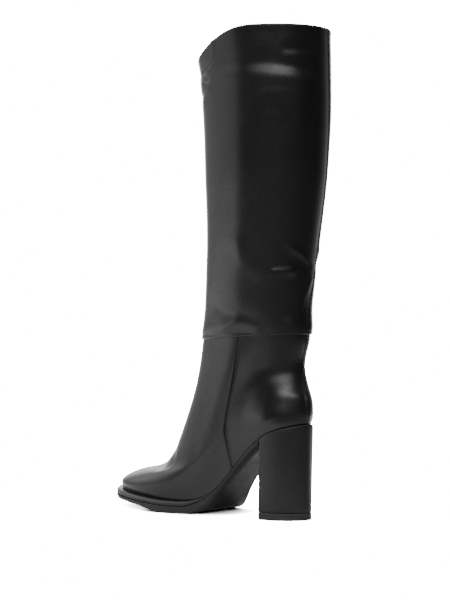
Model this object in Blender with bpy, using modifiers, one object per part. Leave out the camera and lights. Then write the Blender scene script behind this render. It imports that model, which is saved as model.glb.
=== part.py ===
"""Knee-high boot with a block heel, left foot.

The frame has +X to the toe, +Y to the outer side of the leg and +Z up, and the boot stands on Z = 0.
Sizes below are in millimetres and become metres where a mesh is made. The foot part and the leg tube
are lofts through closed rings. Each ring starts at the back of the heel, runs along the outer side
to the front and comes back along the inner side.
"""
from collections import namedtuple

import bpy
import numpy as np

MM = 0.001
BOOT = "knee_high_boot"
CUTTERS = "cutters"

# Driving dimensions (mm). X counts from the back of the heel, and Z from the floor.
WALL = 1.8               # thickness of upper and shaft
GAP = 0.3                # clearance between two pieces that touch
BREAST_X = 36.6          # front face of the heel block
HEEL_TOP_LIP = 1.0       # how far the top of the heel block stands out past the upper
TOP_PIECE_HEIGHT = 6.5
INSOLE_HEIGHT = 3.0
WELT_HEIGHT = 4.6
WELT_END_HEIGHT = 1.2    # where the welt fades out at the waist
WELT_PROJECTION = 4.8    # how far welt and outsole stand out past the feather line
WELT_INSET = 7.0         # how far the welt reaches under the upper
WELT_START_X = 94.0      # where the welt fades out at the waist
WELT_FULL_X = 120.0      # where the welt has its full height and projection
PROJECTION_START_X = 86.0  # where the outsole starts to stand out past the feather line
WAIST_THICKNESS = 5.6    # outsole from the feather line down, measured upright
FOREFOOT_THICKNESS = 11.9  # outsole and welt together
WAIST_END_X = 82.0       # where the outsole starts to thicken towards the forefoot
FOREFOOT_START_X = 102.0
THIN_START_X = 137.0     # where the sole starts to thin out towards the toe
THIN_FULL_X = 176.0
TOE_THICKNESS = 8.4      # outsole and welt together at the toe
WIDE_START_X = 148.0     # where the sole starts to stand out further towards the toe
WIDE_FULL_X = 206.0
TOE_PROJECTION = 6.2     # how far welt and outsole stand out at the toe
EDGE_ROUND = 0.8         # rounding of the edges of heel, outsole and welt

# The topline is level at the back and sides of the leg and dips at the front
TOPLINE_Z = 435.0
TOPLINE_DIP = 23.0
TOPLINE_DIP_START_X = 34.0
TOPLINE_DIP_END_X = 116.0
LEVEL_RINGS = 6          # rings of the shaft that stay flat, before the dip fades in

STATIONS = 12            # named points round a ring
PER_STATION = 5          # mesh columns from one station to the next
COLUMNS = STATIONS * PER_STATION
UPPER_PER_ROW = 2        # mesh rings from one row of the upper's table to the next
FINE = 24                # points from one station to the next on the fine feather line
FINE_PER_HEIGHT = 12     # points from one row of the feather profile to the next
PLAN_STEP = 7.5          # spacing along X of the rungs of insole, outsole and heel
SHORTEST_STEP = 1.5
ROUND_LENGTH = 22.0      # length of a rounded end in plan
ROUND_RUNGS = 7
WELT_SECTIONS = 61
CUTTER_MARGIN = 3.0      # how far the welt's cutter reaches past the outsole

# Height of the feather line, where the upper meets the sole
Height = namedtuple("Height", "x z")
FEATHER_PROFILE = (
    Height(-3, 86.0), Height(9, 83.2), Height(22, 79.3), Height(35, 73.4), Height(48, 64.6),
    Height(60, 54.2), Height(70, 44.0), Height(80, 33.0), Height(90, 22.8), Height(100, 16.3),
    Height(112, 12.7), Height(126, 11.6), Height(145, 11.9), Height(165, 13.4), Height(190, 15.4),
    Height(228, 18.8),
)

# How far each station lies from the back of a ring to its front, for the feather line and for the leg
FEATHER_SPREAD = (0.0, 0.032, 0.135, 0.36, 0.63, 0.885, 1.0)
LEG_SPREAD = (0.0, 0.067, 0.25, 0.5, 0.75, 0.933, 1.0)
# How far each station follows the front end of a ring in height, instead of the back end
FRONT_SHARE = (0.0, 0.05, 0.2, 0.5, 0.8, 0.95, 1.0)
# Half-width at the first station past the back, as a share of the half-width at the seat station
COUNTER_SHARE = 0.6

# Rings of the upper from the feather line to the top edge inside the shaft. The half-widths are those
# at the seat, waist, ball and toe stations, on the outer and the inner side.
Ring = namedtuple("Ring", "back_x back_z front_x front_z front_y seat waist_out waist_in "
                          "ball_out ball_in toe_out toe_in")
UPPER_RINGS = (
    Ring(0.8, 85.0, 222.5, 18.0, -6.0, 25.0, 22.5, 22.5, 36.5, 37.0, 26.2, 30.0),
    Ring(0.0, 91.0, 222.3, 24.0, -6.0, 26.4, 24.0, 24.0, 39.0, 39.4, 28.0, 32.0),
    Ring(-0.2, 98.0, 216.0, 29.0, -6.0, 27.0, 25.8, 24.8, 40.0, 39.6, 26.6, 31.0),
    Ring(0.4, 105.0, 205.5, 33.2, -5.0, 27.0, 27.2, 25.4, 39.0, 38.0, 23.2, 27.2),
    Ring(2.2, 112.0, 192.2, 36.6, -4.0, 26.6, 28.3, 27.0, 37.0, 36.2, 19.8, 21.5),
    Ring(4.9, 119.0, 175.6, 39.8, -3.0, 26.0, 29.1, 28.2, 34.8, 34.3, 17.5, 18.4),
    Ring(7.0, 126.0, 162.6, 46.8, -2.0, 25.6, 29.7, 29.1, 33.0, 33.0, 16.5, 17.0),
    Ring(8.6, 132.5, 152.6, 60.0, -1.5, 25.2, 30.3, 29.8, 31.7, 31.7, 16.2, 16.5),
    Ring(9.0, 139.5, 142.0, 80.0, -1.0, 25.1, 31.0, 30.7, 30.8, 30.8, 16.3, 16.3),
    Ring(7.8, 147.0, 130.8, 104.0, -0.5, 25.6, 32.0, 31.8, 30.4, 30.4, 16.6, 16.6),
    Ring(5.6, 155.5, 121.5, 131.5, 0.0, 26.6, 33.2, 33.2, 30.5, 30.5, 17.2, 17.2),
    Ring(4.4, 164.5, 115.2, 159.5, 0.0, 27.8, 34.3, 34.3, 30.8, 30.8, 17.8, 17.8),
    Ring(4.4, 172.0, 113.4, 167.0, 0.0, 28.6, 35.0, 35.0, 31.2, 31.2, 18.0, 18.0),
)
SEAM_ROW = len(UPPER_RINGS) - 2    # the row at the ankle seam

# Rings of the shaft above the upper, up to the topline
LegRing = namedtuple("LegRing", "back_x back_z front_x front_z half_width")
SHAFT_RINGS = (
    LegRing(3.8, 187.0, 112.4, 183.0, 38.6),
    LegRing(2.6, 206.0, 109.8, 203.0, 40.6),
    LegRing(0.2, 229.0, 107.6, 227.0, 43.0),
    LegRing(-3.0, 253.0, 106.4, 251.0, 45.2),
    LegRing(-6.6, 279.0, 106.4, 277.0, 47.2),
    LegRing(-9.8, 306.0, 107.0, 304.0, 49.0),
    LegRing(-12.0, 336.0, 107.6, 333.0, 50.4),
    LegRing(-13.5, 367.0, 109.0, 361.0, 51.4),
    LegRing(-13.3, 400.0, 111.8, 388.0, 52.0),
    LegRing(-12.6, TOPLINE_Z, 114.6, TOPLINE_Z - TOPLINE_DIP, 52.6),
)

# The heel block tapers a little from the seat to the floor
HEEL_FOOT_BREAST_X = 39.2
HEEL_FOOT_BACK_X = 1.1
HEEL_FOOT_WIDTH_SHARE = 0.93

# Colour, metallic value and roughness
Finish = namedtuple("Finish", "color metallic roughness")
FINISHES = {
    "black_leather": Finish((0.020, 0.020, 0.022), 0.0, 0.38),
    "insole_leather": Finish((0.10, 0.085, 0.07), 0.0, 0.7),
    "sole_edge": Finish((0.022, 0.022, 0.024), 0.0, 0.45),
    "sole_rubber": Finish((0.018, 0.018, 0.019), 0.0, 0.6),
    "heel_cover": Finish((0.020, 0.020, 0.022), 0.0, 0.4),
    "top_piece_rubber": Finish((0.030, 0.030, 0.031), 0.0, 0.65),
}


# Curves

def spline_point(four, t):
    """One point of a uniform cubic B-spline span."""
    weights = ((1 - t) ** 3, 3 * t ** 3 - 6 * t ** 2 + 4, -3 * t ** 3 + 3 * t ** 2 + 3 * t + 1, t ** 3)
    return sum(weight / 6 * control for weight, control in zip(weights, four))


def spline(points, closed, per_span):
    """Points on the smooth cubic curve that passes through all of the given points."""
    points = np.asarray(points, dtype=float)
    count = len(points)
    system = np.zeros((count, count))
    for row in range(count):
        if not closed and row in (0, count - 1):
            system[row, row] = 1.0
            continue
        system[row, (row - 1) % count] = 1 / 6
        system[row, row] = 4 / 6
        system[row, (row + 1) % count] = 1 / 6
    controls = np.linalg.solve(system, points.reshape(count, -1))
    if closed:
        spans = count
        controls = np.concatenate([controls[-1:], controls, controls[:2]])
    else:
        spans = count - 1
        before = 2 * controls[:1] - controls[1:2]
        after = 2 * controls[-1:] - controls[-2:-1]
        controls = np.concatenate([before, controls, after])
    samples = [spline_point(controls[span:span + 4], step / per_span)
               for span in range(spans) for step in range(per_span)]
    if not closed:
        samples.append(spline_point(controls[-4:], 1.0))
    return np.array(samples).reshape(-1, *points.shape[1:])


def smooth_step(value, low, high):
    """0 below low, 1 above high and a soft rise between them."""
    t = np.clip((np.asarray(value, dtype=float) - low) / (high - low), 0.0, 1.0)
    return t * t * (3 - 2 * t)


def outward(loop):
    """Plan normals of closed loops of x, y points that run from the heel along the outer side."""
    ahead = np.roll(loop, -1, axis=-2) - np.roll(loop, 1, axis=-2)
    normals = np.stack([-ahead[..., 1], ahead[..., 0]], axis=-1)
    return normals / np.linalg.norm(normals, axis=-1, keepdims=True)


# Upper and shaft

FINE_PROFILE = spline(FEATHER_PROFILE, False, FINE_PER_HEIGHT)


def feather_height(x):
    """Height of the feather line at a distance from the back of the heel."""
    return np.interp(x, FINE_PROFILE[:, 0], FINE_PROFILE[:, 1])


def both_sides(out_side, in_side):
    """The stations of a whole ring, from seven along its outer side and seven along its inner side."""
    return np.concatenate([out_side, in_side[-2:0:-1]])


def upper_stations():
    """Station points of every ring of the upper, as an array of rings, stations and x, y, z."""
    feather = UPPER_RINGS[0]
    seam = UPPER_RINGS[SEAM_ROW]
    share = np.array(FRONT_SHARE)
    low = feather_height(feather.back_x + (feather.front_x - feather.back_x) * np.array(FEATHER_SPREAD))
    high = seam.back_z + (seam.front_z - seam.back_z) * share
    rings = []
    for index, ring in enumerate(UPPER_RINGS):
        rise = min(index / SEAM_ROW, 1.0)
        spread = (1 - rise) * np.array(FEATHER_SPREAD) + rise * np.array(LEG_SPREAD)
        x = ring.back_x + (ring.front_x - ring.back_x) * spread
        counter = COUNTER_SHARE * ring.seat
        out_y = np.array([0.0, counter, ring.seat, ring.waist_out, ring.ball_out, ring.toe_out,
                          ring.front_y])
        in_y = np.array([0.0, -counter, -ring.seat, -ring.waist_in, -ring.ball_in, -ring.toe_in,
                         ring.front_y])
        back_rise = (ring.back_z - low[0]) / (high[0] - low[0])
        front_rise = (ring.front_z - low[-1]) / (high[-1] - low[-1])
        z = low + (high - low) * (back_rise + (front_rise - back_rise) * share)
        rings.append(np.stack([both_sides(x, x), both_sides(out_y, in_y), both_sides(z, z)], axis=1))
    return np.array(rings)


def upper_surface():
    """Outer face of the upper as an array of rings, columns and x, y, z."""
    rows = spline(upper_stations(), False, UPPER_PER_ROW)
    surface = np.array([spline(row, True, PER_STATION) for row in rows])
    lift = feather_height(surface[0, :, 0]) - surface[0, :, 2]
    fade = 1 - smooth_step(np.arange(len(surface)), 0, SEAM_ROW * UPPER_PER_ROW)
    surface[..., 2] += fade[:, None] * lift
    return surface


def leg_ring(ring):
    """One elliptical ring of the leg."""
    angle = 2 * np.pi * np.arange(COLUMNS) / COLUMNS
    along = (1 - np.cos(angle)) / 2
    x = ring.back_x + (ring.front_x - ring.back_x) * along
    return np.stack([x, ring.half_width * np.sin(angle), ring.back_z + (ring.front_z - ring.back_z) * along],
                    axis=1)


def topline_height(x):
    """Height of the shaft's top edge."""
    return TOPLINE_Z - TOPLINE_DIP * smooth_step(x, TOPLINE_DIP_START_X, TOPLINE_DIP_END_X)


def shaft_surface(upper):
    """Outer face of the shaft. Its two lowest rings stand off the top of the upper."""
    lap = []
    for row in (SEAM_ROW, SEAM_ROW + 1):
        ring = upper[row * UPPER_PER_ROW].copy()
        ring[:, :2] += (GAP + WALL) * outward(ring[:, :2])
        lap.append(ring)
    leg = [leg_ring(ring) for ring in SHAFT_RINGS]
    dip = topline_height(leg[-1][:, 0]) - leg[-1][:, 2]
    for points, ring in zip(leg, SHAFT_RINGS):
        points[:, 2] += smooth_step(ring.back_z, SHAFT_RINGS[LEVEL_RINGS - 1].back_z, TOPLINE_Z) * dip
    return np.array(lap + leg)


# Sole parts

FEATHER_LINE = spline(upper_stations()[0], True, FINE)[:, :2]
FEATHER_NORMALS = outward(FEATHER_LINE)
TOE_INDEX = len(FEATHER_LINE) // 2


def side_index(x, inner):
    """Position along the fine feather line where it passes x, on the outer or the inner side."""
    if inner:
        half = FEATHER_LINE[TOE_INDEX:, 0]
        return TOE_INDEX + np.interp(-np.asarray(x), -half, np.arange(len(half)))
    return np.interp(x, FEATHER_LINE[:TOE_INDEX + 1, 0], np.arange(TOE_INDEX + 1))


def feather_points(index):
    """Plan points and outward normals of the feather line at fractional positions."""
    at = np.arange(len(FEATHER_LINE))
    size = len(FEATHER_LINE)
    points = [np.interp(index, at, FEATHER_LINE[:, axis], period=size) for axis in (0, 1)]
    normals = [np.interp(index, at, FEATHER_NORMALS[:, axis], period=size) for axis in (0, 1)]
    return np.stack(points, axis=1), np.stack(normals, axis=1)


def projection(x):
    """How far welt and outsole stand out past the feather line."""
    at_toe = (TOE_PROJECTION - WELT_PROJECTION) * smooth_step(x, WIDE_START_X, WIDE_FULL_X)
    return WELT_PROJECTION * smooth_step(x, PROJECTION_START_X, WELT_FULL_X) + at_toe


def welt_height(x):
    """Height of the welt, which thins towards the waist."""
    return WELT_END_HEIGHT + (WELT_HEIGHT - WELT_END_HEIGHT) * smooth_step(x, WELT_START_X, WELT_FULL_X)


def outsole_bottom(x):
    """Height of the outsole's underside: flat on the floor at the ball, raised at toe and waist."""
    ramp = smooth_step(x, WAIST_END_X, FOREFOOT_START_X)
    thickness = WAIST_THICKNESS + (FOREFOOT_THICKNESS - WAIST_THICKNESS) * ramp
    thickness -= (FOREFOOT_THICKNESS - TOE_THICKNESS) * smooth_step(x, THIN_START_X, THIN_FULL_X)
    return np.maximum(feather_height(x) - thickness, 0.0)


def rungs(start, end, round_start, round_end):
    """X of the rungs across a sole part, closer together at a rounded end."""
    turn = np.linspace(0, np.pi / 2, ROUND_RUNGS + 1)
    bunched = ROUND_LENGTH * (1 - np.cos(turn))
    low = start + bunched if round_start else np.array([start])
    high = end - bunched[::-1] if round_end else np.array([end])
    steps = np.arange(BREAST_X % PLAN_STEP, end, PLAN_STEP)
    middle = steps[(steps > low[-1] + SHORTEST_STEP) & (steps < high[0] - SHORTEST_STEP)]
    return np.concatenate([low, middle, high])


def plan_loop(xs, offset):
    """Closed outline round the feather line: out along the outer side and back along the inner side.

    An end that lies on the feather line's own end is one point, and any other end is cut off straight.
    The offset is a function of x, or a number, that moves the outline outward.
    """
    out_index = side_index(xs, False)
    in_index = side_index(xs, True)
    if abs(xs[0] - FEATHER_LINE[0, 0]) < GAP:
        in_index = in_index[1:]
    if abs(xs[-1] - FEATHER_LINE[TOE_INDEX, 0]) < GAP:
        in_index = in_index[:-1]
    points, normals = feather_points(np.concatenate([out_index, in_index[::-1]]))
    distance = offset(points[:, 0]) if callable(offset) else np.full(len(points), offset)
    return points + normals * distance[:, None]


def inset(loop, distance):
    """A closed plan outline moved inward."""
    return loop - outward(loop) * distance


def level(loop, heights):
    """A plan outline raised to a height for each point."""
    return np.column_stack([loop, np.broadcast_to(heights, len(loop))])


# Solids

def material(slot):
    """The Principled BSDF material of a slot, made once."""
    made = bpy.data.materials.get(slot)
    if made:
        return made
    finish = FINISHES[slot]
    made = bpy.data.materials.new(slot)
    made.use_nodes = True
    shader = made.node_tree.nodes["Principled BSDF"]
    shader.inputs["Base Color"].default_value = (*finish.color, 1.0)
    shader.inputs["Metallic"].default_value = finish.metallic
    shader.inputs["Roughness"].default_value = finish.roughness
    return made


def new_object(name, slot, points, faces, collection=BOOT):
    """A smooth-shaded mesh object with its material, from points in millimetres."""
    mesh = bpy.data.meshes.new(name)
    mesh.from_pydata([tuple(point) for point in MM * np.asarray(points)], [], faces)
    mesh.shade_smooth()
    mesh.materials.append(material(slot))
    item = bpy.data.objects.new(name, mesh)
    bpy.data.collections[collection].objects.link(item)
    return item


def band(low, high, count):
    """Quads between two closed loops of count points, whose first points have these indices."""
    return [(low + at, high + at, high + (at + 1) % count, low + (at + 1) % count) for at in range(count)]


def tube(name, surface):
    """A hollow wall of leather: a lofted outer face, thickened inward."""
    rows, columns = surface.shape[:2]
    faces = [face for row in range(rows - 1) for face in band(row * columns, (row + 1) * columns, columns)]
    item = new_object(name, "black_leather", surface.reshape(-1, 3), faces)
    wall = item.modifiers.new("Wall", "SOLIDIFY")
    wall.thickness = WALL * MM
    wall.offset = -1.0
    wall.use_even_offset = True
    return item


def ladder(count, start, tips):
    """Faces that fill a closed loop of count points by rungs from its outer side to its inner side."""
    first_tip, last_tip = tips
    pairs = []
    low = 0
    high = count if first_tip else count - 1
    if first_tip:
        pairs.append((0, 0))
        low = 1
        high = count - 1
    while low < high:
        pairs.append((low, high))
        low += 1
        high -= 1
    if last_tip:
        pairs.append((low, low))
    faces = []
    for (a, b), (c, d) in zip(pairs, pairs[1:]):
        corners = [a, c, d, b]
        face = [start + corner for at, corner in enumerate(corners) if corner not in corners[:at]]
        faces.append(tuple(face))
    return faces


def slab(name, slot, levels, tips=(False, False), collection=BOOT):
    """A closed solid through outlines of equal length, from its top down, flat across at both ends."""
    count = len(levels[0])
    bottom = (len(levels) - 1) * count
    faces = [tuple(reversed(face)) for face in ladder(count, 0, tips)]
    for at in range(len(levels) - 1):
        faces += band((at + 1) * count, at * count, count)
    faces += ladder(count, bottom, tips)
    return new_object(name, slot, np.concatenate(levels), faces, collection)


def insole():
    """The board inside the upper, on top of outsole and heel."""
    xs = rungs(FEATHER_LINE[0, 0], FEATHER_LINE[TOE_INDEX, 0], True, True)
    loop = plan_loop(xs, -(WALL + 2 * GAP))
    heights = feather_height(loop[:, 0])
    levels = [level(loop, heights + INSOLE_HEIGHT), level(loop, heights)]
    slab("insole", "insole_leather", levels, (True, True))


def outsole():
    """Forefoot and waist of the sole, from the heel breast to the toe, with a channel for the welt."""
    xs = rungs(BREAST_X + GAP, FEATHER_LINE[TOE_INDEX, 0], False, True)
    loop = plan_loop(xs, projection)
    top_loop = inset(loop, EDGE_ROUND / 2)
    foot_loop = inset(loop, EDGE_ROUND)
    levels = [
        level(top_loop, feather_height(top_loop[:, 0]) - GAP),
        level(loop, feather_height(loop[:, 0]) - GAP - EDGE_ROUND / 2),
        level(loop, outsole_bottom(loop[:, 0]) + EDGE_ROUND),
        level(foot_loop, outsole_bottom(foot_loop[:, 0])),
    ]
    solid = slab("outsole", "sole_rubber", levels, (False, True))
    channel = welt_strip("welt_channel", GAP, CUTTERS)
    channel.hide_render = True
    channel.display_type = "WIRE"
    cut = solid.modifiers.new("Channel", "BOOLEAN")
    cut.operation = "DIFFERENCE"
    cut.object = channel


def welt_strip(name, clearance, collection=BOOT):
    """The strip round the forefoot. A clearance above zero makes its cutter, larger all round."""
    index = np.linspace(side_index(WELT_START_X, False), side_index(WELT_START_X, True), WELT_SECTIONS)
    if clearance:
        start = WELT_START_X - clearance
        index = np.concatenate([[side_index(start, False)], index, [side_index(start, True)]])
    points, normals = feather_points(index)
    out = projection(points[:, 0])
    depth = welt_height(points[:, 0]) + clearance
    inner = -WELT_INSET - clearance
    if clearance:
        corners = [(inner, -CUTTER_MARGIN), (out + CUTTER_MARGIN, -CUTTER_MARGIN),
                   (out + CUTTER_MARGIN, depth), (inner, depth)]
    else:
        corners = [(inner, 0.0), (out - EDGE_ROUND, 0.0), (out, EDGE_ROUND / 2),
                   (out, depth - EDGE_ROUND / 2), (out - EDGE_ROUND / 2, depth), (inner, depth)]
    rails = []
    for distance, below in corners:
        plan = points + normals * np.broadcast_to(distance, len(points))[:, None]
        rails.append(level(plan, feather_height(plan[:, 0]) - GAP - below))
    sides = len(rails)
    faces = [tuple(range(sides))]
    last = len(points) - 1
    for at in range(last):
        faces += band(at * sides, (at + 1) * sides, sides)
    faces.append(tuple(reversed(range(last * sides, (last + 1) * sides))))
    return new_object(name, "sole_edge", np.stack(rails, axis=1).reshape(-1, 3), faces, collection)


def heel_foot(loop):
    """The outline of the heel block at its foot, from the outline at the seat."""
    back = loop[:, 0].min()
    share = (loop[:, 0] - back) / (loop[:, 0].max() - back)
    x = HEEL_FOOT_BACK_X + (HEEL_FOOT_BREAST_X - HEEL_FOOT_BACK_X) * share
    return np.column_stack([x, HEEL_FOOT_WIDTH_SHARE * loop[:, 1]])


def heel_and_top_piece():
    """The D-shaped block under the seat and the lift under it."""
    xs = rungs(FEATHER_LINE[0, 0], BREAST_X, True, False)
    loop = plan_loop(xs, HEEL_TOP_LIP)
    rim = inset(loop, EDGE_ROUND)
    foot = heel_foot(loop)
    block_z = TOP_PIECE_HEIGHT + GAP
    levels = [
        level(rim, feather_height(rim[:, 0]) - GAP),
        level(loop, feather_height(loop[:, 0]) - GAP - EDGE_ROUND),
        level(foot, block_z + EDGE_ROUND / 2),
        level(inset(foot, EDGE_ROUND / 2), block_z),
    ]
    slab("heel", "heel_cover", levels, (True, False))
    levels = [
        level(inset(foot, EDGE_ROUND / 2), TOP_PIECE_HEIGHT),
        level(foot, TOP_PIECE_HEIGHT - EDGE_ROUND / 2),
        level(foot, EDGE_ROUND),
        level(inset(foot, EDGE_ROUND), 0.0),
    ]
    slab("top_piece", "top_piece_rubber", levels, (True, False))


def centre_on_origin():
    """Move the mesh points so that the middle of the boot's footprint box is at the origin."""
    items = [item for name in (BOOT, CUTTERS) for item in bpy.data.collections[name].objects]
    corners = np.array([vertex.co for item in bpy.data.collections[BOOT].objects
                        for vertex in item.data.vertices])
    middle = (corners.min(axis=0) + corners.max(axis=0)) / 2
    for item in items:
        for vertex in item.data.vertices:
            vertex.co.x -= middle[0]
            vertex.co.y -= middle[1]


def main():
    """Build the boot."""
    for item in list(bpy.data.objects):
        bpy.data.objects.remove(item)
    for name in (BOOT, CUTTERS):
        bpy.context.scene.collection.children.link(bpy.data.collections.new(name))
    upper = upper_surface()
    tube("upper", upper)
    tube("shaft", shaft_surface(upper))
    insole()
    outsole()
    welt_strip("welt", 0.0)
    heel_and_top_piece()
    centre_on_origin()


if __name__ == "__main__":
    main()
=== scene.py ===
"""Looks of a knee-high boot with a block heel, left foot.

The boot stands with +X to the toe, +Y to the outer side of the leg and +Z up. Sizes in the tables are
millimetres, with X from the back of the heel and Z from the floor. A place on the leather is a row,
counted upwards, and a column, counted from the back along the outer side to the front at 6 and home
along the inner side to 12.
"""

import math
from collections import namedtuple

import bmesh
import bpy
import numpy as np
from bpy.props import FloatProperty, FloatVectorProperty, PointerProperty
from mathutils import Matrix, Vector, noise


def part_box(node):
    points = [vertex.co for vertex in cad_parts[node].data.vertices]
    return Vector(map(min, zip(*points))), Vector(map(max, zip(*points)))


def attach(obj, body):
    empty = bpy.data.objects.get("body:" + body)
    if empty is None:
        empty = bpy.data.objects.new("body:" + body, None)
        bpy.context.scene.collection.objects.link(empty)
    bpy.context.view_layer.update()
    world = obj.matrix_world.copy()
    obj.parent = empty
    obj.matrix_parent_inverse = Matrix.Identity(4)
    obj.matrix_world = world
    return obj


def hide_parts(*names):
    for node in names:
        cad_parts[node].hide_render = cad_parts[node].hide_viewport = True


bl_info = {
    "name": "Knee-high block-heel boot",
    "version": (1, 0, 0),
    "blender": (4, 5, 0),
    "location": "3D View > Sidebar > Boot",
    "description": "Leather, lining, sole and studio for a knee-high boot on its CAD frame",
    "category": "Object",
}

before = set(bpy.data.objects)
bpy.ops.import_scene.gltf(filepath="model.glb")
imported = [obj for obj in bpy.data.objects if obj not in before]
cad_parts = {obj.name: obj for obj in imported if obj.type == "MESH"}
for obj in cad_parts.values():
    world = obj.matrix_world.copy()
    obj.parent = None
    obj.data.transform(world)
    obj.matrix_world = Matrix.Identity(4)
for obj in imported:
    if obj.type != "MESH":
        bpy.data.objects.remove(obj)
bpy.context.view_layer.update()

MM = 0.001
WALL = 1.8                # leather and lining together
GAP = 0.3                 # clearance between two pieces that touch
BREAST_X = 36.6           # front face of the heel block
TOPLINE_Z = 435.0
TOPLINE_DIP = 23.0
TOPLINE_DIP_START_X = 34.0
TOPLINE_DIP_END_X = 116.0
TOPLINE_LIFT = 1.0        # how much the collar's finished edge rises at the back
TOPLINE_LIFT_START_X = 20.0
TOPLINE_LIFT_END_X = 62.0
LEVEL_RINGS = 6           # rings of the leg below the dip's first effect

# Height of the feather line, where the upper meets the sole
Height = namedtuple("Height", "x z")
FEATHER_PROFILE = (
    Height(-3, 86.0), Height(9, 83.2), Height(22, 79.3), Height(35, 73.4), Height(48, 64.6),
    Height(60, 54.2), Height(70, 44.0), Height(80, 33.0), Height(90, 22.8), Height(100, 16.3),
    Height(112, 12.7), Height(126, 11.6), Height(145, 11.9), Height(165, 13.4), Height(190, 15.4),
    Height(228, 18.8),
)
# A ring has seven stations on each side, at these shares of its length from back to front
FEATHER_SPREAD = (0.0, 0.032, 0.135, 0.36, 0.63, 0.885, 1.0)
LEG_SPREAD = (0.0, 0.067, 0.25, 0.5, 0.75, 0.933, 1.0)
FRONT_SHARE = (0.0, 0.05, 0.2, 0.5, 0.8, 0.95, 1.0)   # how much of its height a station takes from the front
COUNTER_SHARE = 0.6       # half-width of the station beside the back, as a share of the seat's

# Rings of the foot from the feather line up, with half-widths on the outer and the inner side
Ring = namedtuple("Ring", "back_x back_z front_x front_z front_y seat waist_out waist_in "
                          "ball_out ball_in toe_out toe_in")
FOOT_RINGS = (
    Ring(0.8, 85.0, 222.5, 18.0, -6.0, 25.0, 22.5, 22.5, 36.5, 37.0, 26.2, 30.0),
    Ring(0.0, 91.0, 222.3, 24.0, -6.0, 26.4, 24.0, 24.0, 39.0, 39.4, 28.0, 32.0),
    Ring(-0.2, 98.0, 216.0, 29.0, -6.0, 27.0, 25.8, 24.8, 40.0, 39.6, 26.6, 31.0),
    Ring(0.4, 105.0, 205.5, 33.2, -5.0, 27.0, 27.2, 25.4, 39.0, 38.0, 23.2, 27.2),
    Ring(2.2, 112.0, 192.2, 36.6, -4.0, 26.6, 28.3, 27.0, 37.0, 36.2, 19.8, 21.5),
    Ring(4.9, 119.0, 175.6, 39.8, -3.0, 26.0, 29.1, 28.2, 34.8, 34.3, 17.5, 18.4),
    Ring(7.0, 126.0, 162.6, 46.8, -2.0, 25.6, 29.7, 29.1, 33.0, 33.0, 16.5, 17.0),
    Ring(8.6, 132.5, 152.6, 60.0, -1.5, 25.2, 30.3, 29.8, 31.7, 31.7, 16.2, 16.5),
    Ring(9.0, 139.5, 142.0, 80.0, -1.0, 25.1, 31.0, 30.7, 30.8, 30.8, 16.3, 16.3),
    Ring(7.8, 147.0, 130.8, 104.0, -0.5, 25.6, 32.0, 31.8, 30.4, 30.4, 16.6, 16.6),
    Ring(5.6, 155.5, 121.5, 131.5, 0.0, 26.6, 33.2, 33.2, 30.5, 30.5, 17.2, 17.2),
    Ring(4.4, 164.5, 115.2, 159.5, 0.0, 27.8, 34.3, 34.3, 30.8, 30.8, 17.8, 17.8),
    Ring(4.4, 172.0, 113.4, 167.0, 0.0, 28.6, 35.0, 35.0, 31.2, 31.2, 18.0, 18.0),
)
SEAM_ROW = len(FOOT_RINGS) - 2

# Rings of the leg above the ankle seam
LegRing = namedtuple("LegRing", "back_x back_z front_x front_z half_width")
LEG_RINGS = (
    LegRing(3.8, 187.0, 112.4, 183.0, 38.6),
    LegRing(2.6, 206.0, 109.8, 203.0, 40.6),
    LegRing(0.2, 229.0, 107.6, 227.0, 43.0),
    LegRing(-3.0, 253.0, 106.4, 251.0, 45.2),
    LegRing(-6.6, 279.0, 106.4, 277.0, 47.2),
    LegRing(-9.8, 306.0, 107.0, 304.0, 49.0),
    LegRing(-12.0, 336.0, 107.6, 333.0, 50.4),
    LegRing(-13.5, 367.0, 109.0, 361.0, 51.4),
    LegRing(-13.3, 400.0, 111.8, 388.0, 52.0),
    LegRing(-12.6, TOPLINE_Z, 114.6, TOPLINE_Z - TOPLINE_DIP, 52.6),
)
LEG_COLUMNS = 24
ROUND = 12.0              # columns once round the boot
FRONT = 6.0               # the column of the front

# Where vamp and quarters meet, on both sides of the foot
QUARTER_SEAM = (
    Height(69.5, 42.0), Height(71.6, 60.0), Height(72.7, 74.0), Height(71.4, 87.0), Height(65.2, 110.0),
    Height(58.6, 133.0), Height(52.2, 160.0), Height(49.5, 174.0),
)

# How far the seam down the back lies to the outer side, or to the inner side below zero
Sway = namedtuple("Sway", "z y")
BACK_SEAM = (
    Sway(80, 2.0), Sway(107, 2.0), Sway(125, -1.0), Sway(137, -3.4), Sway(165, -4.0), Sway(190, -8.0),
    Sway(223, -13.0), Sway(260, -16.0), Sway(295, -17.5), Sway(340, -17.0), Sway(390, -15.0),
    Sway(440, -14.0),
)

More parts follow.
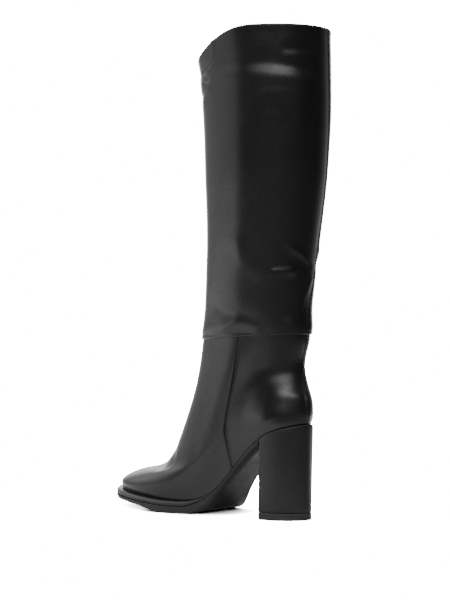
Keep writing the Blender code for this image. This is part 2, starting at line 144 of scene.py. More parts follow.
# Soft ridges (height above zero) and troughs (below zero) of the leather along a path
Crease = namedtuple("Crease", "height width path")
CREASES = (
    # under the collar, outer side
    Crease(0.62, 7.0, ((52, 52, 393), (28, 49, 391.5), (1, 33, 389), (-9, 18, 386))),
    Crease(-0.62, 7.0, ((52, 52, 405), (28, 49, 403.5), (1, 33, 401), (-9, 18, 398))),
    Crease(0.32, 4.0, ((0, 33, 406.5), (-8, 21, 407), (-12, 10, 409))),
    Crease(-0.32, 4.0, ((0, 33, 414.5), (-8, 21, 415), (-12, 10, 417))),
    Crease(0.2, 3.2, ((22, 46, 371), (12, 42, 376), (-2, 30, 376), (-8.5, 20, 365), (-6, 23, 352))),
    Crease(-0.25, 5.0, ((14, 43, 362), (2, 34, 362), (-3, 29, 354))),
    # shin edge near the collar
    Crease(0.8, 2.4, ((70, 50, 424), (72, 49, 407), (93, 38, 399))),
    Crease(-1.1, 4.0, ((104, 24, 402), (88, 41, 394), (80, 45, 392))),
    Crease(0.8, 2.8, ((92, 38, 391), (76, 47, 385), (89, 40, 374))),
    Crease(-0.8, 4.0, ((106, 20, 380), (94, 36, 378))),
    # calf to ankle, outer side
    Crease(0.3, 3.0, ((12, 31, 257), (6.6, 23.2, 243), (1.3, 11.4, 236.5))),
    Crease(0.5, 2.6, ((5, 19, 241), (1.3, 11.4, 236.5), (0.2, 2.7, 231), (1.8, -8.3, 224))),
    Crease(-0.5, 5.0, ((8, 26, 237), (2, 14, 229), (1, 2, 223))),
    Crease(0.6, 3.6, ((2.2, -6, 213), (3.6, 4, 196), (4.6, 8, 182))),
    Crease(-0.5, 5.0, ((5, 14, 213), (8, 19, 196), (10, 21, 182))),
    Crease(1.15, 4.0, ((17, 29, 219), (11, 24, 219.5), (6, 18, 220))),
    Crease(-0.3, 4.5, ((19, 30, 228), (13, 26, 228), (7, 20, 228))),
    Crease(0.6, 8.0, ((46, 43, 244), (36, 41, 226), (20, 33, 217))),
    Crease(-0.4, 7.0, ((53, 38.5, 185), (48, 38, 181))),
    Crease(0.8, 5.5, ((66, 38, 171), (50, 38, 175), (34, 34, 170))),
    Crease(-0.5, 6.0, ((74, 36, 188), (62, 37, 183))),
    # heel of the foot
    Crease(-0.5, 9.0, ((30, 26, 132), (17, 19, 132), (8, 10, 129), (5, 4, 120))),
    Crease(-0.5, 8.0, ((30, 28, 104), (18, 22, 103), (8, 15, 103), (3, 8, 103))),
    # calf to ankle, inner side
    Crease(0.7, 4.0, ((6, -20, 240), (18, -32, 231), (36, -39, 228))),
    Crease(-0.8, 6.0, ((8, -21, 228), (22, -33, 221), (40, -39, 219))),
    Crease(0.6, 6.0, ((70, -37, 196), (50, -38, 190), (30, -33, 196))),
    Crease(0.6, 8.0, ((84, -42, 392), (60, -51, 386), (34, -50, 390))),
    Crease(-0.6, 8.0, ((84, -42, 405), (60, -52, 401), (34, -50, 404))),
    # front of the ankle
    Crease(-0.6, 8.0, ((112, 14, 190), (110, 0, 187), (112, -14, 190))),
    Crease(0.4, 7.0, ((110, 12, 206), (109, 0, 203), (110, -12, 206))),
    # flex of the vamp
    Crease(-0.5, 6.0, ((140, 26, 46), (150, 8, 60), (150, -10, 60), (140, -26, 46))),
    Crease(-0.35, 5.0, ((154, 26, 36), (163, 8, 45), (163, -10, 45), (154, -26, 36))),
)


# Curves and surfaces

def smooth_step(value, low, high):
    """0 below low, 1 above high and a soft rise between them."""
    t = np.clip((np.asarray(value, dtype=float) - low) / (high - low), 0.0, 1.0)
    return t * t * (3 - 2 * t)


def weights(t):
    """Shares of four control points in a point of a uniform cubic B-spline."""
    shares = ((1 - t) ** 3, 3 * t ** 3 - 6 * t ** 2 + 4, -3 * t ** 3 + 3 * t ** 2 + 3 * t + 1, t ** 3)
    return np.stack(shares, -1) / 6


def controls_through(points, closed):
    """Control points of the smooth curve that passes through points, along their first axis."""
    count = len(points)
    system = np.zeros((count, count))
    for row in range(count):
        if not closed and row in (0, count - 1):
            system[row, row] = 1.0
            continue
        system[row, (row - 1) % count] = 1 / 6
        system[row, row] = 4 / 6
        system[row, (row + 1) % count] = 1 / 6
    controls = np.linalg.solve(system, points.reshape(count, -1)).reshape(points.shape)
    if closed:
        return np.concatenate([controls[-1:], controls, controls[:2]])
    return np.concatenate([2 * controls[:1] - controls[1:2], controls, 2 * controls[-1:] - controls[-2:-1]])


def smooth_line(points, per_span):
    """Points on the smooth open curve through the given points."""
    controls = controls_through(np.asarray(points, dtype=float), False)
    t = np.linspace(0, len(points) - 1, (len(points) - 1) * per_span + 1)
    span = np.minimum(t.astype(int), len(points) - 2)
    share = weights(t - span)
    return sum(share[:, at, None] * controls[span + at] for at in range(4))


class Tube:
    """A smooth tube through rings of points, read at rows and columns that need not be whole."""

    def __init__(self, rings):
        self.rows = len(rings) - 1
        self.columns = rings.shape[1]
        net = controls_through(rings, False)
        self.net = controls_through(net.swapaxes(0, 1), True).swapaxes(0, 1)

    def at(self, row, column):
        """Points of the tube."""
        row, column = np.broadcast_arrays(np.asarray(row, dtype=float), np.asarray(column, dtype=float))
        row = np.clip(row, 0, self.rows)
        column = np.mod(column, self.columns)
        low = np.minimum(row.astype(int), self.rows - 1)
        left = np.minimum(column.astype(int), self.columns - 1)
        up = weights(row - low)
        along = weights(column - left)
        return sum((up[..., i] * along[..., j])[..., None] * self.net[low + i, left + j]
                   for i in range(4) for j in range(4))


PROFILE_LINE = smooth_line(FEATHER_PROFILE, 12)
SEAM_LINE = smooth_line(QUARTER_SEAM, 12)
SWAY_LINE = smooth_line(BACK_SEAM, 12)


def feather_height(x):
    """Height of the feather line."""
    return np.interp(x, PROFILE_LINE[:, 0], PROFILE_LINE[:, 1])


def both_sides(outer, inner):
    """A whole ring, from seven stations along its outer side and seven along its inner side."""
    return np.concatenate([outer, inner[-2:0:-1]])


def foot_rings():
    """Station points of the foot's rings."""
    feather = FOOT_RINGS[0]
    seam = FOOT_RINGS[SEAM_ROW]
    share = np.array(FRONT_SHARE)
    low = feather_height(feather.back_x + (feather.front_x - feather.back_x) * np.array(FEATHER_SPREAD))
    high = seam.back_z + (seam.front_z - seam.back_z) * share
    rings = []
    for index, ring in enumerate(FOOT_RINGS):
        rise = min(index / SEAM_ROW, 1.0)
        spread = (1 - rise) * np.array(FEATHER_SPREAD) + rise * np.array(LEG_SPREAD)
        x = ring.back_x + (ring.front_x - ring.back_x) * spread
        counter = COUNTER_SHARE * ring.seat
        outer = np.array([0, counter, ring.seat, ring.waist_out, ring.ball_out, ring.toe_out, ring.front_y])
        inner = np.array([0, counter, ring.seat, ring.waist_in, ring.ball_in, ring.toe_in, -ring.front_y])
        back_rise = (ring.back_z - low[0]) / (high[0] - low[0])
        front_rise = (ring.front_z - low[-1]) / (high[-1] - low[-1])
        z = low + (high - low) * (back_rise + (front_rise - back_rise) * share)
        rings.append(np.stack([both_sides(x, x), both_sides(outer, -inner), both_sides(z, z)], axis=1))
    return np.array(rings)


FOOT = Tube(foot_rings())


def foot(row, column):
    """Points of the foot's outer face. The lowest row lies on the feather line."""
    points = FOOT.at(row, column)
    lowest = FOOT.at(0.0, column)
    lift = feather_height(lowest[..., 0]) - lowest[..., 2]
    points[..., 2] += (1 - smooth_step(row, 0, SEAM_ROW)) * lift
    return points


def outward(loop):
    """Plan normals of a closed loop of x, y points that runs from the heel along the outer side."""
    ahead = np.roll(loop, -1, axis=0) - np.roll(loop, 1, axis=0)
    normal = np.stack([-ahead[:, 1], ahead[:, 0]], axis=1)
    return normal / np.linalg.norm(normal, axis=1, keepdims=True)


def round_columns(count):
    """Evenly spread columns once round the boot."""
    return np.arange(count) * ROUND / count


def leg_rings():
    """Rings of the leg. The two lowest stand off the top of the foot."""
    column = round_columns(LEG_COLUMNS)
    rings = []
    for row in (SEAM_ROW, SEAM_ROW + 1):
        ring = foot(float(row), column)
        ring[:, :2] += (GAP + WALL) * outward(ring[:, :2])
        rings.append(ring)
    angle = 2 * np.pi * column / ROUND
    along = (1 - np.cos(angle)) / 2
    top = LEG_RINGS[-1]
    top_x = top.back_x + (top.front_x - top.back_x) * along
    dip = TOPLINE_Z - TOPLINE_DIP * smooth_step(top_x, TOPLINE_DIP_START_X, TOPLINE_DIP_END_X)
    dip += TOPLINE_LIFT * (1 - smooth_step(top_x, TOPLINE_LIFT_START_X, TOPLINE_LIFT_END_X))
    dip -= top.back_z + (top.front_z - top.back_z) * along
    for ring in LEG_RINGS:
        x = ring.back_x + (ring.front_x - ring.back_x) * along
        z = ring.back_z + (ring.front_z - ring.back_z) * along
        z = z + smooth_step(ring.back_z, LEG_RINGS[LEVEL_RINGS - 1].back_z, TOPLINE_Z) * dip
        rings.append(np.stack([x, ring.half_width * np.sin(angle), z], axis=1))
    return np.array(rings)


LEG = Tube(leg_rings())
LEG_TOP = float(LEG.rows)
LAP_INSET = 0.9           # how much closer the shaft's lowest edge lies to the foot
LAP_FADE = 1.2            # rows over which it comes back


def leg(row, column):
    """Points of the leg's outer face."""
    return LEG.at(row, np.asarray(column) * LEG_COLUMNS / ROUND)


def normals(place, row, column):
    """Outward unit normals of foot or leg."""
    step = 0.03
    up = place(row + step, column) - place(row - step, column)
    along = place(row, column + step) - place(row, column - step)
    normal = np.cross(up, along)
    return normal / np.linalg.norm(normal, axis=-1, keepdims=True)


def crease_relief(points):
    """Height of the creases at points."""
    flat = points.reshape(-1, 3)
    relief = np.zeros(len(flat))
    for crease in CREASES:
        path = smooth_line(crease.path, 6) if len(crease.path) > 2 else np.array(crease.path, dtype=float)
        nearest = np.full(len(flat), np.inf)
        for start, end in zip(path, path[1:]):
            along = end - start
            share = np.clip((flat - start) @ along / (along @ along), 0.0, 1.0)
            nearest = np.minimum(nearest, np.linalg.norm(flat - start - share[:, None] * along, axis=1))
        relief += crease.height * np.exp(-(nearest / crease.width) ** 2)
    return relief.reshape(points.shape[:-1])


def waves(points, size, height, seed):
    """Gentle unevenness of the given size and height."""
    flat = points.reshape(-1, 3) / size + seed
    return height * np.array([noise.noise(Vector(point)) for point in flat]).reshape(points.shape[:-1])


LEATHER_LIFT = 0.4        # how full the leather lies over the last
LIFT_ROWS = 1.5           # rows over which it fills out above the feather line
BROAD_WAVE = 46.0         # size of the broad unevenness of the leather
BROAD_SEED = 3.7
FINE_WAVE = 14.0          # size of the fine unevenness over it
FINE_SEED = 9.1
FINE_SHARE = 0.05         # height of the fine unevenness, as a share of the broad one
SEAT_TUCK = 1.0           # how far the leather draws in above the heel
SEAT_TUCK_ROWS = 2.0
SEAT_TUCK_END_X = 50.0
SEAT_TUCK_FADE = 25.0


def leather_relief(place, row, column):
    """How far creases and unevenness lift the leather at a place."""
    points = place(row, column)
    settings = bpy.context.scene.boot_leather
    relief = LEATHER_LIFT + settings.crease_strength * crease_relief(points)
    relief += waves(points, BROAD_WAVE, settings.unevenness / MM, BROAD_SEED)
    relief += waves(points, FINE_WAVE, FINE_SHARE * settings.unevenness / MM, FINE_SEED)
    if place is leg:
        relief -= LAP_INSET * (1 - smooth_step(row, 0.0, LAP_FADE))
    else:
        relief *= smooth_step(row, 0.0, LIFT_ROWS)
        at_seat = 1 - smooth_step(points[..., 0], SEAT_TUCK_END_X, SEAT_TUCK_END_X + SEAT_TUCK_FADE)
        relief -= SEAT_TUCK * at_seat * np.clip(1 - row / SEAT_TUCK_ROWS, 0, 1) ** 2
    return relief


def at_depths(place, row, column, *depths):
    """Points at each of the depths below the leather's full outer face."""
    base = place(row, column)
    normal = normals(place, row, column)
    relief = leather_relief(place, row, column)
    return [base + normal * (relief - depth)[..., None] for depth in depths]


COLUMN_TRIES = 161


def column_where(place, row, low, high, value):
    """The column between low and high at which value(points) changes sign, for each row."""
    tries = np.linspace(low, high, COLUMN_TRIES)
    found = []
    for at in row:
        signs = value(place(at, tries))
        change = np.nonzero(np.diff(np.sign(signs)))[0][0]
        share = signs[change] / (signs[change] - signs[change + 1])
        found.append(tries[change] + share * (tries[change + 1] - tries[change]))
    return np.array(found)


def past_quarter_seam(points):
    """Positive in front of the seam between quarter and vamp."""
    return points[..., 0] - np.interp(points[..., 2], SEAM_LINE[:, 1], SEAM_LINE[:, 0])


def past_back_seam(points):
    """Positive on the outer side of the seam down the back."""
    return points[..., 1] - np.interp(points[..., 2], SWAY_LINE[:, 0], SWAY_LINE[:, 1])


# Columns between which the seams lie
OUTER_SIDE = (0.5, FRONT - 1.0)
INNER_SIDE = (ROUND - 0.5, FRONT + 1.0)
FOOT_BACK = (-1.2, 1.2)
LEG_BACK = (-1.6, 1.6)


def quarter_seams(row):
    """Columns of the seam between quarter and vamp, on the outer and on the inner side."""
    return [column_where(foot, row, *side, past_quarter_seam) for side in (OUTER_SIDE, INNER_SIDE)]


def back_seam(place, row):
    """Columns of the seam down the back."""
    return column_where(place, row, *(LEG_BACK if place is leg else FOOT_BACK), past_back_seam)


def from_edge(place, row, columns, edge_row):
    """Distance along the leather from the row of an edge, in millimetres."""
    return np.linalg.norm(place(row[:, None], columns) - place(edge_row, columns), axis=-1)


# Meshes

# The frame's origin in the tables' X. The rearmost point of the foot, which lies in its lowest three
# rows, is the back of the CAD upper.
ORIGIN_X = FOOT.at(np.linspace(0, 3, 61)[:, None], 0.0)[..., 0].min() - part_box("upper")[0].x / MM


def in_frame(points):
    """Points from heel-back millimetres to the frame's metres."""
    return (np.asarray(points, dtype=float) - (ORIGIN_X, 0.0, 0.0)) * MM


def finish_piece(name, mesh, material, slot, *nodes):
    """Link a mesh as a piece that rides on the boot and stands for CAD nodes."""
    mesh.materials.append(material)
    mesh.shade_smooth()
    piece = bpy.data.objects.new(name, mesh)
    bpy.context.scene.collection.objects.link(piece)
    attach(piece, "root")
    if nodes:
        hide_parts(*nodes)


MERGE_DISTANCE = 1e-7     # metres


def mesh_from(name, points, faces, wear_and_highlight):
    """A mesh with merged doubles and outward faces. Wear is 1 at a cut edge and fades away from it, and the
    same value carries painted highlights.
    """
    mesh = bpy.data.meshes.new(name)
    mesh.from_pydata([tuple(point) for point in in_frame(points)], [], faces)
    layer = mesh.attributes.new("wear_and_highlight", "FLOAT", "POINT")
    layer.data.foreach_set("value", np.asarray(wear_and_highlight, dtype=np.float32).ravel())
    shape = bmesh.new()
    shape.from_mesh(mesh)
    bmesh.ops.remove_doubles(shape, verts=shape.verts, dist=MERGE_DISTANCE)
    bmesh.ops.recalc_face_normals(shape, faces=shape.faces)
    shape.to_mesh(mesh)
    shape.free()
    return mesh


def sheet_faces(rows, columns, start, flip, wrap):
    """Quads of a grid of points whose first point has the given index."""
    faces = []
    for row in range(rows - 1):
        for column in range(columns if wrap else columns - 1):
            beside = (column + 1) % columns
            face = (start + row * columns + column, start + (row + 1) * columns + column,
                    start + (row + 1) * columns + beside, start + row * columns + beside)
            faces.append(face[::-1] if flip else face)
    return faces


def shell(name, outer, inner, wear_and_highlight, wrap=False):
    """A closed sheet of leather or lining between an outer and an inner grid of points."""
    rows, columns = outer.shape[:2]
    size = rows * columns
    faces = sheet_faces(rows, columns, 0, False, wrap) + sheet_faces(rows, columns, size, True, wrap)
    grid = np.arange(size).reshape(rows, columns)
    if wrap:
        borders = [np.append(grid[0], grid[0, 0]), np.append(grid[-1], grid[-1, 0])[::-1]]
    else:
        borders = [np.concatenate([grid[0], grid[1:, -1], grid[-1, -2::-1], grid[-2::-1, 0]])]
    for border in borders:
        faces += [(a, b, b + size, a + size) for a, b in zip(border, border[1:])]
    points = np.concatenate([outer.reshape(-1, 3), inner.reshape(-1, 3)])
    return mesh_from(name, points, faces, np.concatenate([wear_and_highlight.ravel(), wear_and_highlight.ravel()]))


# Mesh lines beside a cut edge, and across a margin with the groove beside it
EDGE_STEPS = np.array([0.0, 0.08, 0.2, 0.4, 0.7, 1.1, 1.8])
LAP_STEPS = np.array([0.0, 1.4, 2.6, 3.2, 3.6, 3.9, 4.2, 4.6, 5.1, 5.8, 6.8])
LAP = 3.6                 # width of a panel's margin under its neighbour
LAP_SINK = 1.3            # how far the margin lies below the neighbour's face
GROOVE_START = 0.2        # where the panel starts to rise again, under the neighbour's edge
GROOVE_END = 3.0          # where it is up, beside that edge
LIP_ROUND = 0.9           # rounding of a folded edge
LIP_RISE = 0.75           # how far the fold stands proud
LIP_WIDTH = 1.8
WEAR_WIDTH = 1.2          # distance over which the wear beside an edge fades
FAR = 50.0                # a distance at which an edge has no effect


def side_steps(place, row, edge, inwards, steps):
    """Columns at steps in millimetres from a panel's edge, for each row."""
    nudge = 0.01
    reach = np.linalg.norm(place(row, edge + nudge) - place(row, edge), axis=-1) / nudge
    return edge[:, None] + inwards * steps[None, :] / reach[:, None]


def column_beside(place, row, edge, inwards, distance):
    """The column at one distance from an edge, for each row."""
    return side_steps(place, row, edge, inwards, np.array([distance]))[:, 0]


def panel_columns(place, row, left, right, left_steps, right_steps, count):
    """Columns of a panel's grid, with the distance from its left and its right edge in millimetres."""
    first = side_steps(place, row, left, 1, left_steps)
    last = side_steps(place, row, right, -1, right_steps)[:, ::-1]
    share = np.linspace(0, 1, count + 2)[1:-1]
    middle = first[:, -1:] + (last[:, :1] - first[:, -1:]) * share
    columns = np.concatenate([first, middle, last], axis=1)
    from_left = np.concatenate([left_steps, np.full(count + len(right_steps), FAR)])
    from_right = np.concatenate([np.full(count + len(left_steps), FAR), right_steps[::-1]])
    return columns, from_left[None, :], from_right[None, :]


def rounded(distance, radius):
    """How far a rounded edge falls back at a distance from the edge."""
    inside = np.clip(1 - np.asarray(distance) / radius, 0.0, 1.0)
    return radius * (1 - np.sqrt(1 - inside ** 2))


def lip(distance):
    """How far a folded edge falls back below the face behind it. The fold itself stands proud."""
    return rounded(distance, LIP_ROUND) - LIP_RISE * np.exp(-(np.asarray(distance) / LIP_WIDTH) ** 2)


def tucked(distance):
    """How far the margin under a neighbour sinks, with the groove beside the neighbour's edge."""
    return LAP_SINK * (1 - smooth_step(distance, LAP - GROOVE_START, LAP + GROOVE_END))


def worn(distance):
    """Wear beside an edge."""
    return np.exp(-np.asarray(distance) / WEAR_WIDTH)


def panel(name, place, row, columns, outer_depth, inner_depth, wear_and_highlight):
    """A leather panel on foot or leg, between two depths below the full outer face."""
    outer, inner = at_depths(place, row[:, None], columns, outer_depth, inner_depth)
    return shell(name, outer, inner, np.broadcast_to(wear_and_highlight, columns.shape))


# Materials

WEAR_AND_HIGHLIGHT_AMOUNT = 0.45        # how much of the lighter colour shows where a piece is most worn or carries its strongest painted highlight
WEAR_AND_HIGHLIGHT_LIGHTNESS = 2.2


def feed(tree, sockets, values):
    """Give inputs their values. An output of another node, given as a value, is linked."""
    for name, value in values.items():
        if isinstance(value, bpy.types.NodeSocket):
            tree.links.new(value, sockets[name])
        else:
            sockets[name].default_value = value


def node(tree, kind, inputs=None, **settings):
    """A shader or geometry node with settings and inputs."""
    made = tree.nodes.new(kind)
    for name, value in settings.items():
        setattr(made, name, value)
    feed(tree, made.inputs, inputs or {})
    return made


def maths(tree, operation, first, second):
    """A number worked out from two."""
    return node(tree, "ShaderNodeMath", {0: first, 1: second}, operation=operation).outputs[0]


def mix(tree, factor, first, second, kind="FLOAT"):
    """A blend of two numbers or two colours."""
    values = {"Factor": factor, "A": first, "B": second}
    return node(tree, "ShaderNodeMix", values, data_type=kind).outputs["Result"]


def lighten(colour, factor):
    """A colour with each channel multiplied and an alpha of 1."""
    return (*(min(factor * channel, 1.0) for channel in colour), 1.0)


class Finish:
    """A material built up from colour, gloss and relief, with patterns on the piece's own coordinates."""

    def __init__(self, name, colour, roughness):
        self.material = bpy.data.materials.new(name)
        self.material.use_nodes = True
        self.tree = self.material.node_tree
        self.colour = tuple(colour)
        self.shader = self.tree.nodes["Principled BSDF"].inputs
        self.coordinates = node(self.tree, "ShaderNodeTexCoord").outputs["Object"]
        self.set({"Base Color": (*colour, 1.0), "Roughness": roughness})

    def set(self, values):
        """Set or link inputs of the shader."""
        feed(self.tree, self.shader, values)

    def pattern(self, output, kind, inputs, **settings):
        """An output of a texture on the piece."""
        return node(self.tree, kind, {"Vector": self.coordinates, **inputs}, **settings).outputs[output]

    def clouds(self, scale, detail):
        """Soft noise."""
        return self.pattern("Fac", "ShaderNodeTexNoise", {"Scale": scale, "Detail": detail})

    def pores(self, scale):
        """Small cells with sunk borders."""
        return self.pattern("Distance", "ShaderNodeTexVoronoi", {"Scale": scale}, feature="DISTANCE_TO_EDGE")

    def mottle(self, lightness, scale):
        """Vary the base colour softly between two tones, and lighten it where the piece is worn and where a
        highlight is painted on it.
        """
        lighter = lighten(self.colour, lightness)
        tone = mix(self.tree, self.clouds(scale, detail=3.0), (*self.colour, 1.0), lighter, "RGBA")
        # the wear value also carries painted highlights, as on the welt's top and the heel's rim
        wear_and_highlight = node(self.tree, "ShaderNodeAttribute", attribute_name="wear_and_highlight").outputs["Fac"]
        amount = maths(self.tree, "MULTIPLY", wear_and_highlight, WEAR_AND_HIGHLIGHT_AMOUNT)
        rubbed_and_lit = lighten(lighter[:3], WEAR_AND_HIGHLIGHT_LIGHTNESS)
        self.set({"Base Color": mix(self.tree, amount, tone, rubbed_and_lit, "RGBA")})

    def vary_roughness(self, low, high, scale):
        """Vary the roughness softly between two values."""
        patches = self.clouds(scale, detail=4.0)
        spread = node(self.tree, "ShaderNodeMapRange", {"Value": patches, "From Min": 0.35, "From Max": 0.65,
                                                        "To Min": low, "To Max": high})
        self.set({"Roughness": spread.outputs["Result"]})

    def bump(self, height, strength, distance):
        """Add a bump on top of the present normal."""
        values = {"Height": height, "Strength": strength, "Distance": distance}
        if self.shader["Normal"].is_linked:
            values["Normal"] = self.shader["Normal"].links[0].from_socket
        self.set({"Normal": node(self.tree, "ShaderNodeBump", values).outputs["Normal"]})


def calf_leather(name="black_calf_leather", duller=0.0):
    """Smooth black calf: a polished top coat over fine pores and a faint grain."""
    settings = bpy.context.scene.boot_leather
    roughness = settings.roughness + duller
    calf = Finish(name, bpy.context.scene.boot_colours.leather, roughness)
    calf.mottle(lightness=1.5, scale=14.0)
    calf.vary_roughness(roughness - 0.05, roughness + 0.05, scale=30.0)
    calf.bump(calf.pores(scale=1100.0), settings.grain, distance=0.00008)
    calf.bump(calf.clouds(scale=260.0, detail=5.0), settings.grain, distance=0.00012)
    calf.set({"Specular IOR Level": 0.5, "Coat Weight": 0.12, "Coat Roughness": 0.22})
    return calf.material


def heel_leather():
    """The same calf, stretched over the heel block and less polished."""
    return calf_leather("heel_cover_leather", duller=0.2)


def woven_lining():
    """Dark textile lining with a fine weave."""
    textile = Finish("dark_lining", bpy.context.scene.boot_colours.lining, roughness=0.8)
    textile.mottle(lightness=1.4, scale=40.0)
    for axis in ("X", "Z"):
        weave = {"Scale": 500.0, "Distortion": 0.6, "Detail": 1.0}
        threads = textile.pattern("Fac", "ShaderNodeTexWave", weave, bands_direction=axis)
        textile.bump(threads, strength=0.35, distance=0.0001)
    textile.set({"Sheen Weight": 0.25})
    return textile.material


def insole_leather():
    """Matt sock leather with open pores."""
    sock = Finish("insole_leather_finish", bpy.context.scene.boot_colours.insole, roughness=0.62)
    sock.mottle(lightness=1.5, scale=30.0)
    sock.vary_roughness(0.52, 0.72, scale=50.0)
    sock.bump(sock.pores(scale=800.0), strength=0.3, distance=0.0001)
    return sock.material


def edge_ink():
    """Dressed edge of the welt: waxed, with faint streaks along it."""
    ink = Finish("waxed_edge", bpy.context.scene.boot_colours.sole_edge, roughness=0.34)
    ink.mottle(lightness=1.6, scale=60.0)
    ink.vary_roughness(0.28, 0.44, scale=90.0)
    stretch = ink.pattern("Vector", "ShaderNodeMapping", {"Scale": (0.15, 0.15, 1.0)})
    streaks = node(ink.tree, "ShaderNodeTexNoise", {"Vector": stretch, "Scale": 420.0, "Detail": 3.0})
    ink.bump(streaks.outputs["Fac"], strength=0.25, distance=0.00012)
    return ink.material


def moulded_rubber(name, colour, roughness):
    """Moulded rubber with a fine spark texture."""
    rubber = Finish(name, colour, roughness)
    rubber.mottle(lightness=1.4, scale=35.0)
    rubber.vary_roughness(roughness - 0.07, roughness + 0.07, scale=70.0)
    rubber.bump(rubber.clouds(scale=900.0, detail=4.0), strength=0.3, distance=0.0001)
    return rubber.material


def outsole_rubber():
    """Rubber of the outsole."""
    colour = bpy.context.scene.boot_colours.sole_rubber
    return moulded_rubber("outsole_rubber_finish", colour, roughness=0.42)


def top_piece_rubber():
    """Duller rubber of the top piece."""
    colour = bpy.context.scene.boot_colours.top_piece
    return moulded_rubber("top_piece_finish", colour, roughness=0.5)


def sewing_thread():
    """Bonded polyester thread."""
    thread = Finish("sewing_thread", bpy.context.scene.boot_colours.thread, roughness=0.5)
    thread.bump(thread.clouds(scale=2500.0, detail=2.0), strength=0.4, distance=0.00005)
    return thread.material


MAKERS = {
    "black_calf_leather": calf_leather,
    "heel_cover_leather": heel_leather,
    "dark_lining": woven_lining,
    "insole_leather_finish": insole_leather,
    "waxed_edge": edge_ink,
    "outsole_rubber_finish": outsole_rubber,
    "top_piece_finish": top_piece_rubber,
    "sewing_thread": sewing_thread,
}


def finish_material(name):
    """A material by its name, made once."""
    return bpy.data.materials.get(name) or MAKERS[name]()


# Upper

VAMP_THICKNESS = 0.5
VAMP_COLUMNS = 150
VAMP_WEAR = 0.6
QUARTER_THICKNESS = 0.6
QUARTER_COLUMNS = 84
SHAFT_THICKNESS = 0.85
SHAFT_COLUMNS = 190
# Rows of points on the leather: close together at an edge, then from, to and how many
FOOT_EDGE_ROWS = (0.0, 0.01, 0.03, 0.06, 0.1, 0.16, 0.24)
FOOT_EVEN_ROWS = (0.34, SEAM_ROW + 0.8, 92)
SHAFT_EDGE_ROWS = (0.0, 0.012, 0.03, 0.06, 0.1, 0.15, 0.22)
SHAFT_EVEN_ROWS = (0.3, LEG_TOP - 0.09, 150)
COLLAR_EDGE_ROWS = (0.055, 0.03, 0.015, 0.007, 0.003, 0.0)   # down from the top
FEATHER_ROUND = 0.5       # rounding of the leather where it turns under
HEM_ROUND = 1.0           # rounding of the shaft's lowest edge
HEM_RISE = 0.4            # how far that edge stands proud
HEM_HEIGHT = 2.6
COLLAR_ROUND = 1.6        # the same for the topline
COLLAR_RISE = 0.5
COLLAR_HEIGHT = 4.0


def foot_rows():
    """Rows of the foot's panels, close together at the feather line."""
    return np.concatenate([FOOT_EDGE_ROWS, np.linspace(*FOOT_EVEN_ROWS)])


def shaft_rows():
    """Rows of the shaft's panel, close together at both ends."""
    highest = LEG_TOP - np.array(COLLAR_EDGE_ROWS)
    return np.concatenate([SHAFT_EDGE_ROWS, np.linspace(*SHAFT_EVEN_ROWS), highest])


def vamp():
    """Front panel of the foot, tucked under both quarters."""
    row = foot_rows()
    outer_seam, inner_seam = quarter_seams(row)
    left = column_beside(foot, row, outer_seam, -1, LAP)
    right = column_beside(foot, row, inner_seam, 1, LAP)
    columns, from_left, from_right = panel_columns(foot, row, left, right, LAP_STEPS, LAP_STEPS, VAMP_COLUMNS)
    nearest = np.minimum(from_left, from_right)
    sink = tucked(nearest) + rounded(from_edge(foot, row, columns, 0.0), FEATHER_ROUND)
    wear_and_highlight = VAMP_WEAR * worn(np.abs(nearest - LAP))
    mesh = panel("vamp", foot, row, columns, sink, sink + VAMP_THICKNESS, wear_and_highlight)
    finish_piece("vamp", mesh, finish_material("black_calf_leather"), "black_leather", "upper")


def quarter(name, outer_side):
    """Side panel of the foot from the back seam to the vamp. Its front edge lies over the vamp."""
    row = foot_rows()
    back = back_seam(foot, row)
    outer_seam, inner_seam = quarter_seams(row)
    if outer_side:
        columns, from_left, from_right = panel_columns(foot, row, back, outer_seam, EDGE_STEPS, EDGE_STEPS,
                                                       QUARTER_COLUMNS)
        sink = lip(from_left) + lip(from_right)
    else:
        margin = column_beside(foot, row, back + ROUND, 1, LAP)
        columns, from_left, from_right = panel_columns(foot, row, inner_seam, margin, EDGE_STEPS, LAP_STEPS,
                                                       QUARTER_COLUMNS)
        sink = lip(from_left) + tucked(from_right)
        from_right = np.abs(from_right - LAP)
    sink = sink + rounded(from_edge(foot, row, columns, 0.0), FEATHER_ROUND)
    wear_and_highlight = worn(np.minimum(from_left, from_right))
    mesh = panel(name, foot, row, columns, sink, np.maximum(sink, 0) + QUARTER_THICKNESS, wear_and_highlight)
    finish_piece(name, mesh, finish_material("black_calf_leather"), "black_leather")


def shaft():
    """Leather of the leg in one panel that closes at the back seam."""
    row = shaft_rows()
    left = back_seam(leg, row)
    right = column_beside(leg, row, left + ROUND, 1, LAP)
    columns, from_left, from_right = panel_columns(leg, row, left, right, EDGE_STEPS, LAP_STEPS,
                                                   SHAFT_COLUMNS)
    from_bottom = from_edge(leg, row, columns, 0.0)
    from_top = from_edge(leg, row, columns, LEG_TOP)
    rise = HEM_RISE * np.exp(-(from_bottom / HEM_HEIGHT) ** 2)
    rise += COLLAR_RISE * np.exp(-(from_top / COLLAR_HEIGHT) ** 2)
    sink = lip(from_left) + tucked(from_right) - rise
    sink += rounded(from_bottom, HEM_ROUND) + rounded(from_top, COLLAR_ROUND)
    nearest = np.minimum(np.minimum(from_left, np.abs(from_right - LAP)), np.minimum(from_bottom, from_top))
    inner_depth = np.maximum(sink, 0) + SHAFT_THICKNESS
    mesh = panel("shaft_leather", leg, row, columns, sink, inner_depth, worn(nearest))
    finish_piece("shaft_leather", mesh, finish_material("black_calf_leather"), "black_leather", "shaft")


# Inside

LINING_COLUMNS = 144
FACING_ROWS = 0.95        # height of the leather facing inside the collar, in rows
